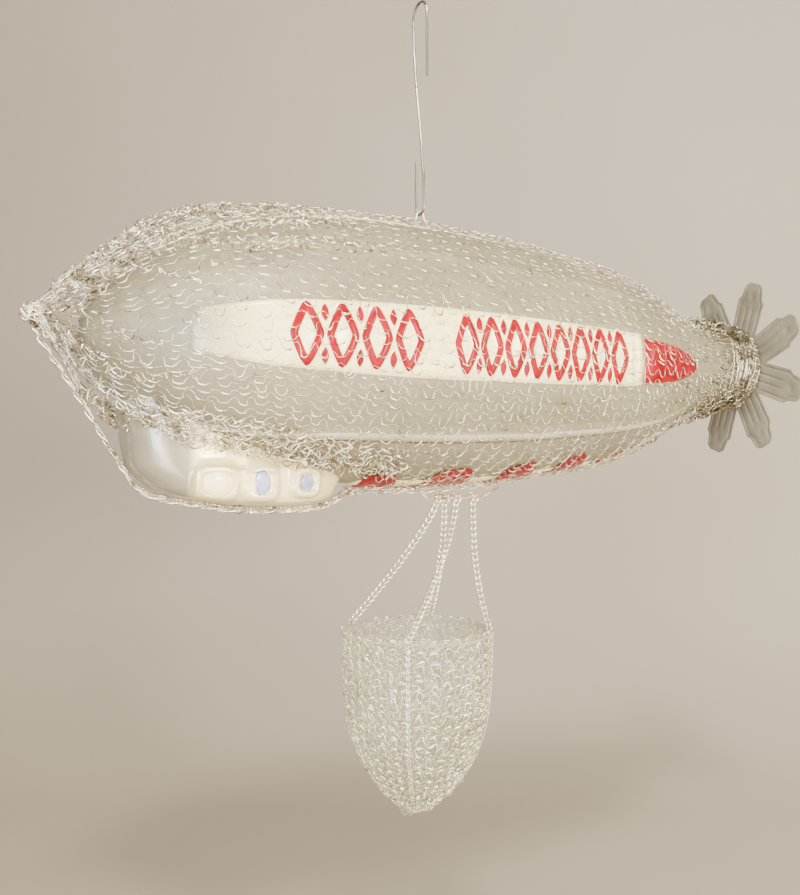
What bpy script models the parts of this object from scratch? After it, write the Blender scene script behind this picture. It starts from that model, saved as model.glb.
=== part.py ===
"""A blown-glass airship tree ornament in a knitted wire net, hanging on its wire hook.

Metres, +Z up. The origin is the top of the inside of the hook's upper loop, the point that
rests on a branch. The ship lies along X with its nose towards -X and its tail star at +X,
and the basket hangs under its keel. Port is -Y and starboard is +Y.
"""
import math

import bmesh
import bpy
from mathutils import Vector

# Driving dimensions, in metres
GAP = 0.0003  # clearance that touching pieces keep
NOSE_GLASS = 0.00099  # wall of the blown glass at the nose, its thick end
NECK_GLASS = 0.00071  # the same at the neck; the two let the ship hang level
GONDOLA_GLASS = 0.0015
AXIS_Z = -0.0824  # height of the ship's centreline

HOOK_HEIGHT = 0.0508
HOOK_WIRE = 0.000325  # wire radius
HOOK_TOP_BEND = 0.0033  # centreline radius of the upper loop
HOOK_FOOT_BEND = 0.0019  # centreline radius of the lower loop
HOOK_TOP_LEG = 0.0150  # short leg of the upper loop
HOOK_FOOT_LEG = 0.0110  # short leg of the lower loop

# The glass hull: position along X, radius, rise of the ring's centre
HULL_STATIONS = (
    (-0.0775, 0.0035, 0.0),
    (-0.0755, 0.0068, 0.0),
    (-0.0700, 0.0123, 0.0),
    (-0.0600, 0.0200, 0.0),
    (-0.0450, 0.0260, -0.0001),
    (-0.0250, 0.0293, -0.0006),
    (-0.0050, 0.0297, -0.0010),
    (0.0150, 0.0287, -0.0013),
    (0.0350, 0.0264, -0.0015),
    (0.0480, 0.0244, -0.0016),
    (0.0590, 0.0214, -0.0017),
    (0.0680, 0.0175, -0.0016),
    (0.0770, 0.0133, -0.0013),
    (0.0850, 0.0108, -0.0009),
    (0.0930, 0.0098, -0.0003),
    (0.1010, 0.0097, 0.0),
)
HULL_NOSE_X = -0.0780
HULL_NECK_X = HULL_STATIONS[-1][0]
# Where the four quarters meet: position along X, degrees above and below the beam
RIDGE_STATIONS = (
    (-0.0700, 62.0),
    (-0.0600, 55.0),
    (-0.0480, 49.5),
    (-0.0390, 45.3),
    (-0.0280, 41.5),
    (-0.0150, 40.2),
    (0.0600, 39.5),
)
RIDGE_RISE = 0.0004
RIDGE_FULL_RADIUS = 0.0200  # on a thinner stretch the ridges fade
RIDGE_STEPS = (-6.0, -3.0, 0.0, 3.0, 6.0)  # degrees about each ridge
QUARTER_STEPS = 7  # facets between two ridges' feet

# The wire net round the hull: position along X, radius, rise of the ring's centre
NET_STATIONS = (
    (-0.0850, 0.0028, 0.0041),
    (-0.0815, 0.0074, 0.0036),
    (-0.0738, 0.0162, 0.0012),
    (-0.0616, 0.0256, 0.0004),
    (-0.0420, 0.0297, 0.0),
    (-0.0220, 0.0311, -0.0006),
    (-0.0050, 0.0312, -0.0010),
    (0.0170, 0.0300, -0.0013),
    (0.0350, 0.0280, -0.0015),
    (0.0490, 0.0259, -0.0016),
    (0.0600, 0.0227, -0.0017),
    (0.0700, 0.0181, -0.0016),
    (0.0800, 0.0137, -0.0012),
    (0.0880, 0.0118, -0.0006),
    (0.0965, 0.0109, 0.0),
)
NET_BAR = 0.00044  # depth of a net bar
NET_COLUMNS = 22
NET_ROWS = 28
NET_SPREAD = -0.018  # how much the rows open amidships; it puts a knot under the hook
NET_WINDOW_X = (-0.0760, -0.0150)  # stretch of the net that the gondola pushes through
NET_WINDOW_HALF = 42.0  # degrees each side of the keel

# The raised panels on the four quarters
PANEL_HALF = 14.0  # degrees each side of the quarter's centre
PANEL_DEPTH = 0.0005
PANEL_FRONT_X = -0.0615
PANEL_BACK_X = 0.0466
KEEL_PANEL_FRONT_X = -0.0190
PATCH_HALF = 12.3
PATCH_FRONT_X = 0.0474
PATCH_TAPER_X = 0.0540
PATCH_BACK_X = 0.0724
# quarter, angle from port towards the top in degrees, front end of its panel
QUARTERS = (
    ("port", 0.0, PANEL_FRONT_X),
    ("top", 90.0, PANEL_FRONT_X),
    ("starboard", 180.0, PANEL_FRONT_X),
    ("keel", 270.0, KEEL_PANEL_FRONT_X),
)

# The gondola's levels: drop below the centreline, front end, back end, half width
GONDOLA_LEVELS = (
    (0.0100, -0.0705, -0.0208, 0.0125),
    (0.0255, -0.0685, -0.0216, 0.0125),
    (0.0315, -0.0650, -0.0240, 0.0123),
    (0.0336, -0.0625, -0.0262, 0.0116),
    (0.0344, -0.0595, -0.0292, 0.0098),
)
GONDOLA_RAKE = 0.0026  # how much its bottom rises towards the nose
GONDOLA_RAKE_X = (-0.0360, -0.0622)  # where the bottom starts to rise and where it ends
GONDOLA_SQUARENESS = 3.0  # exponent of the plan's rounded outline
GONDOLA_POINTS = 32
# The gondola's windows: name, position along X, half length, half height
WINDOWS = (
    ("front", -0.0534, 0.0031, 0.0025),
    ("middle", -0.0441, 0.0020, 0.0026),
    ("rear", -0.0341, 0.0021, 0.0021),
)
WINDOW_DROP = 0.0296  # below the centreline
WINDOW_DEPTH = 0.0006

NOSE_KNOT_X = -0.0862
NOSE_KNOT_RISE = 0.0041
NOSE_KNOT_HALF = 0.0026
NOSE_KNOT_RADIUS = 0.0020
CHIN_WIRE = 0.00045
# The net's gathered edge, from the nose under the gondola to the keel: position along X, drop
CHIN_ROUTE = (
    (-0.0866, -0.0012),
    (-0.0832, 0.0040),
    (-0.0796, 0.0096),
    (-0.0730, 0.0205),
    (-0.0687, 0.0274),
    (-0.0665, 0.0304),
    (-0.0614, 0.0328),
    (-0.0510, 0.0347),
    (-0.0437, 0.0357),
    (-0.0290, 0.0359),
    (-0.0239, 0.0350),
)
CHIN_END_X = -0.0185  # where it lies on the net again

EYE_WIRE = 0.00025
EYE_HALF_SPAN = 0.0017
EYE_X = 0.0
EYE_CLEARANCE = 0.0002  # over the hook's wire

TAIL_WIRE = 0.0003
TAIL_TURNS = 3
TAIL_TURN_PITCH = 0.0008
TAIL_COIL_RADIUS = 0.0118
TAIL_COIL_X = 0.0958
CAP_RADIUS = 0.0088
CAP_FLANGE_RADIUS = 0.0097
CAP_FACE_X = 0.1018
CAP_FLANGE = 0.0005
CAP_DEPTH = 0.0035
PIN_RADIUS = 0.0008
PIN_CLEARANCE = 0.0003
PIN_HEAD = 0.0018
PIN_HEAD_DEPTH = 0.0010

STAR_X = 0.1024
STAR_HALF_DEPTH = 0.0003
STAR_BLADES = 8
STAR_NOTCH_RADIUS = 0.0112
STAR_TURN = 18.0  # degrees from the keel to the first blade
# One blade's half outline: distance from the centre, half width
BLADE_OUTLINE = (
    (0.0193, 0.0046),
    (0.0203, 0.0037),
    (0.0234, 0.0031),
    (0.0244, 0.0017),
)

KEEL_WIRE = 0.0003
KEEL_WIRE_DROP = 0.0345  # of the straight stretch that the stays loop round
KEEL_WIRE_X = (0.0020, 0.0172)
KEEL_WIRE_HEEL_X = 0.0230  # where its slanting end meets the net

BASKET_X = -0.0010
RIM_DROP = 0.0655
RIM_RADIUS = 0.0172
RIM_WIRE = 0.0006
STAY_WIRE = 0.00045
STAY_LOOP = 0.00115
STAY_POINTS = 12
# The stays: name, position along X of the loop on the keel wire, azimuth at the rim,
# exponent of the flare
STAYS = (
    ("fore", 0.0044, 129.0, 1.2),
    ("starboard", 0.0066, 50.0, 2.0),
    ("port", 0.0098, 235.0, 1.5),
    ("aft", 0.0147, 326.0, 2.6),
)
# The basket's net: drop below the rim, radius
BASKET_STATIONS = (
    (0.0014, 0.0167),
    (0.0110, 0.0168),
    (0.0210, 0.0158),
    (0.0290, 0.0132),
    (0.0345, 0.0097),
    (0.0380, 0.0065),
    (0.0400, 0.0041),
)
BASKET_BAR = 0.0008
BASKET_COLUMNS = 12
BASKET_ROWS = 8
RIB_WIRE = 0.0004
RIB_STAND_OFF = 0.0014
RIB_END_DROP = 0.0372
RIB_POINTS = 10
KNOT_RADIUS = 0.0034
KNOT_HALF = 0.0025

# Colour, roughness, metallic
FINISHES = {
    "steel_wire": ((0.55, 0.55, 0.53), 0.35, 1.0),
    "silver_wire": ((0.86, 0.83, 0.76), 0.28, 1.0),
    "frosted_glass": ((0.72, 0.71, 0.64), 0.30, 0.35),
    "cream_glass": ((0.86, 0.83, 0.74), 0.25, 0.20),
    "lilac_paint": ((0.55, 0.52, 0.72), 0.35, 0.0),
    "red_paint": ((0.72, 0.06, 0.07), 0.30, 0.0),
    "pressed_foil": ((0.42, 0.40, 0.30), 0.60, 0.15),
}


def clear_scene():
    """Start from an empty scene."""
    for old in list(bpy.data.objects):
        bpy.data.objects.remove(old, do_unlink=True)


def collection(name):
    group = bpy.data.collections.new(name)
    bpy.context.scene.collection.children.link(group)
    return group


def finish_material(name):
    colour, roughness, metallic = FINISHES[name]
    material = bpy.data.materials.get(name) or bpy.data.materials.new(name)
    material.use_nodes = True
    shader = material.node_tree.nodes["Principled BSDF"]
    shader.inputs["Base Color"].default_value = (*colour, 1.0)
    shader.inputs["Roughness"].default_value = roughness
    shader.inputs["Metallic"].default_value = metallic
    return material


def add_object(name, data, finish, group):
    """Link a mesh or curve as one named piece."""
    piece = bpy.data.objects.new(name, data)
    data.materials.append(finish_material(finish))
    group.objects.link(piece)
    return piece


def smooth(data, angle=30.0):
    data.shade_smooth()
    data.set_sharp_from_angle(angle=math.radians(angle))


def between(stations, x):
    """Read a station table at x, smoothly: a cubic through each pair of rows."""
    rows = [Vector(row) if len(row) > 2 else Vector((*row, 0.0)) for row in stations]
    if x <= rows[0][0]:
        return tuple(rows[0])
    if x >= rows[-1][0]:
        return tuple(rows[-1])
    i = max(k for k, row in enumerate(rows[:-1]) if row[0] <= x)
    before, low, high = rows[max(i - 1, 0)], rows[i], rows[i + 1]
    after = rows[min(i + 2, len(rows) - 1)]
    span = high[0] - low[0]
    t = (x - low[0]) / span
    slope_low = (high - before) * (span / (high[0] - before[0]))
    slope_high = (after - low) * (span / (after[0] - low[0]))
    return tuple(
        low * (2 * t**3 - 3 * t**2 + 1)
        + slope_low * (t**3 - 2 * t**2 + t)
        + high * (3 * t**2 - 2 * t**3)
        + slope_high * (t**3 - t**2)
    )


def around(x, radius, degrees, rise=0.0):
    """A point on a ring about the ship's centreline; 0 degrees is port and 90 the top."""
    a = math.radians(degrees)
    return Vector((x, -radius * math.cos(a), AXIS_Z + rise + radius * math.sin(a)))


def ridges(x):
    """The angles of the four ridges at x, from the lower port one round past the top."""
    half = between(RIDGE_STATIONS, x)[1]
    return (-half, half, 180.0 - half, 180.0 + half)


def ridge_swell(x, degrees):
    """How far the nearest ridge lifts the hull's skin at this angle."""
    off = min(abs((degrees - ridge + 180.0) % 360.0 - 180.0) for ridge in ridges(x))
    return RIDGE_RISE * max(0.0, 1.0 - (off / RIDGE_STEPS[-1]) ** 2)


def hull_angles(x):
    """Angles round the hull, close together over each ridge."""
    starts = ridges(x)
    angles = []
    for k, ridge in enumerate(starts):
        angles += [ridge + step for step in RIDGE_STEPS]
        start = ridge + RIDGE_STEPS[-1]
        following = starts[(k + 1) % 4] + (360.0 if k == 3 else 0.0)
        span = following + RIDGE_STEPS[0] - start
        angles += [start + span * n / QUARTER_STEPS for n in range(1, QUARTER_STEPS)]
    return angles


def hull_point(x, degrees, out=0.0):
    """A point on the hull's skin, or a distance out from it."""
    _, radius, rise = between(HULL_STATIONS, x)
    swell = ridge_swell(x, degrees) * min(1.0, radius / RIDGE_FULL_RADIUS)
    return around(x, radius + swell + out, degrees, rise)


def loft(rings, cap_end=False, pole_start=None, pole_end=None):
    """Skin rings of equal count with quads, closed by a pole at either end or a flat cap."""
    shape = bmesh.new()
    loops = [[shape.verts.new(point) for point in ring] for ring in rings]
    count = len(loops[0])
    for low, high in zip(loops[:-1], loops[1:]):
        for k in range(count):
            shape.faces.new((low[k], low[(k + 1) % count], high[(k + 1) % count], high[k]))
    for pole, ring in ((pole_start, loops[0]), (pole_end, loops[-1])):
        if pole is None:
            continue
        tip = shape.verts.new(pole)
        for k in range(count):
            shape.faces.new((tip, ring[(k + 1) % count], ring[k]))
    if cap_end:
        shape.faces.new(loops[-1])
    bmesh.ops.recalc_face_normals(shape, faces=shape.faces)
    return shape


def mesh_from(shape, name):
    data = bpy.data.meshes.new(name)
    shape.to_mesh(data)
    shape.free()
    smooth(data)
    return data


def glass_wall(x):
    """The hull's wall at x, which thins evenly from the nose to the neck."""
    u = (x - HULL_NOSE_X) / (HULL_NECK_X - HULL_NOSE_X)
    return NOSE_GLASS + (NECK_GLASS - NOSE_GLASS) * u


def hull_rings(out, walls=0.0):
    """The hull's rings, moved out by a distance and in by a number of walls."""
    rings = []
    for x, _, _ in HULL_STATIONS:
        shift = out - walls * glass_wall(x)
        rings.append([hull_point(x, a, shift) for a in hull_angles(x)])
    return rings


def thicken(piece, depth, offset):
    wall = piece.modifiers.new("wall", "SOLIDIFY")
    wall.thickness = depth
    wall.offset = offset
    wall.use_even_offset = True
    return wall


def build_hull(group):
    """The blown glass envelope, open at the neck under the tail star."""
    nose = Vector((HULL_NOSE_X, 0.0, AXIS_Z))
    inner_nose = nose + Vector((NOSE_GLASS, 0.0, 0.0))
    skins = hull_rings(0.0) + hull_rings(0.0, walls=1.0)[::-1]
    shape = loft(skins, pole_start=nose, pole_end=inner_nose)
    add_object("hull", mesh_from(shape, "hull"), "frosted_glass", group)


def hull_cutter(group):
    """The hull's outer form with its gap, which trims the gondola's top edge."""
    nose = Vector((HULL_NOSE_X - GAP, 0.0, AXIS_Z))
    shape = loft(hull_rings(GAP), cap_end=True, pole_start=nose)
    cutter = bpy.data.objects.new("hull_cutter", mesh_from(shape, "hull_cutter"))
    group.objects.link(cutter)
    cutter.hide_render = True
    cutter.display_type = "WIRE"
    return cutter


def rounded_power(value, power):
    return math.copysign(abs(value) ** power, value)


def gondola_lift(x, drop):
    """How much the lower levels rise towards the nose."""
    start, end = GONDOLA_RAKE_X
    along = min(max((x - start) / (end - start), 0.0), 1.0)
    straight, bottom = GONDOLA_LEVELS[1][0], GONDOLA_LEVELS[-1][0]
    low = max((drop - straight) / (bottom - straight), 0.0)
    return GONDOLA_RAKE * low * along**2


def gondola_ring(level):
    """A rounded plan outline of the gondola at one level."""
    drop, front, back, half = level
    middle = (front + back) / 2
    reach = (back - front) / 2
    power = 2.0 / GONDOLA_SQUARENESS
    ring = []
    for k in range(GONDOLA_POINTS):
        a = 2 * math.pi * k / GONDOLA_POINTS
        x = middle + reach * rounded_power(math.cos(a), power)
        y = half * rounded_power(math.sin(a), power)
        ring.append(Vector((x, y, AXIS_Z - drop + gondola_lift(x, drop))))
    return ring


def build_gondola(group, cutter):
    """The glass cabin under the nose: an open tub whose rim follows the hull."""
    rings = [gondola_ring(level) for level in GONDOLA_LEVELS]
    bottom = sum(rings[-1], Vector()) / GONDOLA_POINTS
    bottom.z = min(point.z for point in rings[-1])
    shape = loft(rings, pole_end=bottom)
    gondola = add_object("gondola", mesh_from(shape, "gondola"), "cream_glass", group)
    thicken(gondola, GONDOLA_GLASS, -1.0)
    cut = gondola.modifiers.new("hull_seat", "BOOLEAN")
    cut.operation = "DIFFERENCE"
    cut.solver = "EXACT"
    cut.object = cutter


def gondola_side(x):
    """Half width of the gondola's straight side at x, and the side's turn in plan."""
    _, front, back, half = GONDOLA_LEVELS[1]
    reach = (back - front) / 2
    u = (x - (front + back) / 2) / reach
    n = GONDOLA_SQUARENESS
    inner = 1.0 - abs(u) ** n
    slope = -half / reach * rounded_power(u, n - 1) * inner ** (1 / n - 1)
    return half * inner ** (1 / n), math.atan(slope)


def build_windows(group):
    """The raised oval windows, three on each side of the gondola."""
    for side, sign in (("port", -1), ("starboard", 1)):
        for name, x, half_length, half_height in WINDOWS:
            y, turn = gondola_side(x)
            outline = bpy.data.curves.new(f"window_{side}_{name}", "CURVE")
            outline.dimensions = "2D"
            outline.fill_mode = "BOTH"
            outline.extrude = WINDOW_DEPTH / 2
            spline = outline.splines.new("POLY")
            count = 16
            spline.points.add(count - 1)
            for k in range(count):
                a = 2 * math.pi * k / count
                spline.points[k].co = (
                    half_length * rounded_power(math.cos(a), 0.8),
                    half_height * rounded_power(math.sin(a), 0.8),
                    0.0,
                    1.0,
                )
            spline.use_cyclic_u = True
            finish = "cream_glass" if name == "front" else "lilac_paint"
            window = add_object(outline.name, outline, finish, group)
            stand_off = (y + GAP + WINDOW_DEPTH / 2) / math.cos(turn)
            window.location = (x, sign * stand_off, AXIS_Z - WINDOW_DROP)
            window.rotation_euler = (math.pi / 2, 0.0, sign * turn)


def skin_plate(name, stations, centre, finish, group):
    """A thin plate on the hull: rows of position along X and half angle in degrees."""
    columns = 4
    shape = bmesh.new()
    rows = []
    for x, half in stations:
        row = []
        for k in range(columns + 1):
            a = centre + half * (2.0 * k / columns - 1.0)
            row.append(shape.verts.new(hull_point(x, a, GAP)))
        rows.append(row)
    for low, high in zip(rows[:-1], rows[1:]):
        for k in range(columns):
            shape.faces.new((low[k], low[k + 1], high[k + 1], high[k]))
    bmesh.ops.recalc_face_normals(shape, faces=shape.faces)
    outward = around(0.0, 1.0, centre) - around(0.0, 0.0, centre)
    if shape.faces[:][0].normal.dot(outward) < 0:
        bmesh.ops.reverse_faces(shape, faces=shape.faces)
    plate = add_object(name, mesh_from(shape, name), finish, group)
    thicken(plate, PANEL_DEPTH, 1.0)


def build_panels(group):
    """A long panel on each quarter, and the red rounded patch behind it."""
    panel_rows = 9
    patch_rows = 6
    for name, centre, front in QUARTERS:
        rows = [
            (front + (PANEL_BACK_X - front) * k / (panel_rows - 1), PANEL_HALF)
            for k in range(panel_rows)
        ]
        skin_plate(f"panel_{name}", rows, centre, "cream_glass", group)
        rows = [(PATCH_FRONT_X, PATCH_HALF)]
        for k in range(patch_rows):
            u = 0.97 * k / (patch_rows - 1)
            x = PATCH_TAPER_X + (PATCH_BACK_X - PATCH_TAPER_X) * u
            rows.append((x, PATCH_HALF * math.sqrt(1.0 - u * u)))
        skin_plate(f"patch_{name}", rows, centre, "red_paint", group)


def lattice(rings, keep):
    """A net of diamond meshes over rings of equal count, each turned half a step on.

    rings[i] lists the ring's points at twice the columns, so that a knot sits on every
    other point; keep(middle) says which meshes stay.
    """
    columns = len(rings[0]) // 2
    shape = bmesh.new()
    knots = []
    for i, ring in enumerate(rings):
        knots.append([shape.verts.new(ring[2 * k + i % 2]) for k in range(columns)])

    def mesh_face(corners):
        middle = sum((corner.co for corner in corners), Vector()) / len(corners)
        if keep(middle):
            shape.faces.new(corners)

    last = len(rings) - 1
    for i in range(last + 1):
        for k in range(columns):
            side = (k + i % 2) % columns
            corners = [knots[i][k], knots[i][(k + 1) % columns]]
            if i < last:
                corners.append(knots[i + 1][side])
            if i > 0:
                corners.insert(1, knots[i - 1][side])
            mesh_face(corners)
    loose = [vert for vert in shape.verts if not vert.link_faces]
    bmesh.ops.delete(shape, geom=loose, context="VERTS")
    bmesh.ops.recalc_face_normals(shape, faces=shape.faces)
    return shape


def wire_bars(piece, bar):
    """Turn the mesh's edges into bars of one closed body."""
    bars = piece.modifiers.new("bars", "WIREFRAME")
    bars.thickness = bar
    bars.use_even_offset = True
    bars.use_replace = True
    bars.use_boundary = True
    bars.offset = 0.0


def build_net(group):
    """The knitted net round the hull, as a coarse net of wire with the gondola's hole."""
    first, last = NET_STATIONS[0][0], NET_STATIONS[-1][0]
    rings = []
    for i in range(NET_ROWS + 1):
        u = i / NET_ROWS
        x = first + (last - first) * (u - NET_SPREAD * math.sin(2 * math.pi * u))
        _, radius, rise = between(NET_STATIONS, x)
        step = 180.0 / NET_COLUMNS
        rings.append([around(x, radius, step * k, rise) for k in range(2 * NET_COLUMNS)])

    def keep(middle):
        low, high = NET_WINDOW_X
        off = math.degrees(math.atan2(abs(middle.y), AXIS_Z - middle.z))
        return not (low < middle.x < high and off < NET_WINDOW_HALF)

    shape = lattice(rings, keep)
    net = add_object("hull_net", mesh_from(shape, "hull_net"), "silver_wire", group)
    wire_bars(net, NET_BAR)


def tube(name, points, radius, finish, group, cyclic=False):
    """A wire: a bevelled curve through the points, with filled ends."""
    wire = bpy.data.curves.new(name, "CURVE")
    wire.dimensions = "3D"
    wire.bevel_depth = radius
    wire.bevel_resolution = 2
    wire.use_fill_caps = True
    spline = wire.splines.new("POLY")
    spline.points.add(len(points) - 1)
    for slot, point in zip(spline.points, points):
        slot.co = (*point, 1.0)
    spline.use_cyclic_u = cyclic
    return add_object(name, wire, finish, group)


def smooth_route(points, steps):
    """Points along a smooth curve through the given ones, steps to each stretch."""
    ends = [points[0] * 2 - points[1], *points, points[-1] * 2 - points[-2]]
    route = []
    for a, b, c, d in zip(ends, ends[1:], ends[2:], ends[3:]):
        for k in range(steps):
            t = k / steps
            route.append(
                0.5
                * (
                    2 * b
                    + (c - a) * t
                    + (2 * a - 5 * b + 4 * c - d) * t**2
                    + (3 * b - a - 3 * c + d) * t**3
                )
            )
    route.append(points[-1])
    return route


def build_hook(group):
    """The S-shaped wire hook, flat in the plane across the ship."""
    top = HOOK_WIRE - HOOK_TOP_BEND
    foot = hook_seat_z() + HOOK_FOOT_BEND
    points = [Vector((0.0, -HOOK_TOP_BEND, top - HOOK_TOP_LEG))]
    for k in range(9):
        a = math.pi * (1.0 - k / 8)
        points.append(
            Vector((0.0, HOOK_TOP_BEND * math.cos(a), top + HOOK_TOP_BEND * math.sin(a)))
        )
    shank = 6
    for k in range(1, shank):
        u = k / shank
        ease = u * u * (3 - 2 * u)
        y = HOOK_TOP_BEND - (HOOK_TOP_BEND + HOOK_FOOT_BEND) * ease
        points.append(Vector((0.0, y, top + (foot - top) * u)))
    for k in range(9):
        a = math.pi * (1.0 + k / 8)
        points.append(
            Vector((0.0, HOOK_FOOT_BEND * math.cos(a), foot + HOOK_FOOT_BEND * math.sin(a)))
        )
    points.append(Vector((0.0, HOOK_FOOT_BEND, foot + HOOK_FOOT_LEG)))
    tube("hook", points, HOOK_WIRE, "steel_wire", group)


def hook_seat_z():
    """Height of the centre of the hook's wire at its lowest point, the ship's pivot."""
    return 2 * HOOK_WIRE - HOOK_HEIGHT + HOOK_WIRE


def net_edge(x, degrees, out):
    """A point a stated distance outside the net's bars."""
    _, radius, rise = between(NET_STATIONS, x)
    return around(x, radius + NET_BAR / 2 + out, degrees, rise)


def build_top_eye(group):
    """The bent wire on the net's crest that lies in the hook's lower loop."""
    seat = net_edge(EYE_X, 90.0, GAP + EYE_WIRE).z
    crown = hook_seat_z() + HOOK_WIRE + EYE_CLEARANCE + EYE_WIRE
    # share of the half span, share of the way up to the crown
    half = ((-1.0, 0.0), (-0.72, 0.12), (-0.54, 0.62), (-0.28, 1.0))
    bends = half + tuple((-along, up) for along, up in reversed(half))
    corners = [
        Vector((EYE_X + EYE_HALF_SPAN * along, 0.0, seat + (crown - seat) * up))
        for along, up in bends
    ]
    tube("top_eye", smooth_route(corners, 3), EYE_WIRE, "silver_wire", group)


def turned(name, profile, finish, group, steps=16):
    """A piece turned about its own Z: profile points are radius and height, top first."""
    shape = bmesh.new()
    verts = [shape.verts.new((radius, 0.0, height)) for radius, height in profile]
    for a, b in zip(verts[:-1], verts[1:]):
        shape.edges.new((a, b))
    if profile[0][0] > 0:
        shape.edges.new((verts[-1], verts[0]))
    data = bpy.data.meshes.new(name)
    shape.to_mesh(data)
    shape.free()
    piece = add_object(name, data, finish, group)
    screw = piece.modifiers.new("turn", "SCREW")
    screw.steps = steps
    screw.render_steps = steps
    screw.use_merge_vertices = True
    screw.merge_threshold = 0.00001
    screw.use_smooth_shade = True
    return piece


def bead_profile(radius, half):
    """Half an oval, from its top to its bottom."""
    steps = 6
    inner = [
        (radius * math.sin(math.pi * k / steps), half * math.cos(math.pi * k / steps))
        for k in range(1, steps)
    ]
    return [(0.0, half), *inner, (0.0, -half)]


def lay_along_x(piece, x, z):
    piece.location = (x, 0.0, z)
    piece.rotation_euler = (0.0, math.pi / 2, 0.0)


def build_nose(group):
    """The knot that gathers the net at the nose, and the edge gathered under the gondola."""
    knot = turned(
        "nose_knot", bead_profile(NOSE_KNOT_RADIUS, NOSE_KNOT_HALF), "silver_wire", group, 12
    )
    lay_along_x(knot, NOSE_KNOT_X, AXIS_Z + NOSE_KNOT_RISE)
    route = [Vector((x, 0.0, AXIS_Z - drop)) for x, drop in CHIN_ROUTE]
    route.append(net_edge(CHIN_END_X, 270.0, GAP + CHIN_WIRE))
    tube("chin_strand", smooth_route(route, 2), CHIN_WIRE, "silver_wire", group)


def build_tail(group):
    """The binding wire round the neck, the cap in the neck and the pin for the star."""
    per_turn = 20
    points = []
    for k in range(TAIL_TURNS * per_turn + 1):
        x = TAIL_COIL_X + TAIL_TURN_PITCH * k / per_turn
        points.append(around(x, TAIL_COIL_RADIUS, 360.0 * k / per_turn + 250.0))
    tube("tail_binding", points, TAIL_WIRE, "silver_wire", group)

    bore = PIN_RADIUS + PIN_CLEARANCE
    cap_profile = [
        (bore, 0.0),
        (CAP_FLANGE_RADIUS, 0.0),
        (CAP_FLANGE_RADIUS, -CAP_FLANGE),
        (CAP_RADIUS, -CAP_FLANGE),
        (CAP_RADIUS, -CAP_DEPTH),
        (bore, -CAP_DEPTH),
    ]
    cap = turned("tail_cap", cap_profile, "pressed_foil", group, steps=32)
    lay_along_x(cap, CAP_FACE_X, AXIS_Z)

    star_back = STAR_X + STAR_HALF_DEPTH - CAP_FACE_X
    head = star_back + GAP
    inner = -CAP_DEPTH - GAP
    pin_profile = [
        (0.0, head + PIN_HEAD_DEPTH),
        (PIN_HEAD * 0.7, head + PIN_HEAD_DEPTH * 0.75),
        (PIN_HEAD, head),
        (PIN_RADIUS, head),
        (PIN_RADIUS, inner),
        (PIN_HEAD, inner),
        (PIN_HEAD, inner - PIN_HEAD_DEPTH),
        (0.0, inner - PIN_HEAD_DEPTH),
    ]
    pin = turned("star_pin", pin_profile, "steel_wire", group)
    lay_along_x(pin, CAP_FACE_X, AXIS_Z)


def star_outline():
    """The star's outline about its centre: eight straps with notched, tapered ends."""
    points = []
    for blade in range(STAR_BLADES):
        turn = 2 * math.pi * blade / STAR_BLADES + math.radians(STAR_TURN)
        half_step = math.pi / STAR_BLADES
        corners = [
            (
                STAR_NOTCH_RADIUS * math.cos(half_step),
                -STAR_NOTCH_RADIUS * math.sin(half_step),
            )
        ]
        corners += [(along, -half) for along, half in BLADE_OUTLINE]
        corners += [(along, half) for along, half in reversed(BLADE_OUTLINE)]
        for along, across in corners:
            points.append(
                (
                    along * math.cos(turn) - across * math.sin(turn),
                    along * math.sin(turn) + across * math.cos(turn),
                )
            )
    return points


def build_star(group):
    """The pressed star that turns on its pin as the propeller."""
    plate = bpy.data.curves.new("propeller_star", "CURVE")
    plate.dimensions = "2D"
    plate.fill_mode = "BOTH"
    plate.extrude = STAR_HALF_DEPTH
    bore = PIN_RADIUS + PIN_CLEARANCE
    hole = [
        (bore * math.cos(math.pi * k / 8), bore * math.sin(math.pi * k / 8)) for k in range(16)
    ]
    for outline in (star_outline(), hole):
        spline = plate.splines.new("POLY")
        spline.points.add(len(outline) - 1)
        for slot, (u, v) in zip(spline.points, outline):
            slot.co = (u, v, 0.0, 1.0)
        spline.use_cyclic_u = True
    star = add_object("propeller_star", plate, "pressed_foil", group)
    lay_along_x(star, STAR_X, AXIS_Z)


def build_keel_wire(group):
    """The wire under the keel that the basket's stays loop round."""
    low = AXIS_Z - KEEL_WIRE_DROP
    front, back = KEEL_WIRE_X
    corners = [
        net_edge(EYE_X, 270.0, GAP),
        Vector((front, 0.0, low)),
        Vector((back, 0.0, low)),
        net_edge(KEEL_WIRE_HEEL_X, 270.0, GAP + KEEL_WIRE),
    ]
    tube("keel_wire", corners, KEEL_WIRE, "silver_wire", group)


def rim_point(azimuth, radius, drop):
    a = math.radians(azimuth)
    return Vector(
        (
            BASKET_X + radius * math.cos(a),
            radius * math.sin(a),
            AXIS_Z - RIM_DROP - drop,
        )
    )


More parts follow.
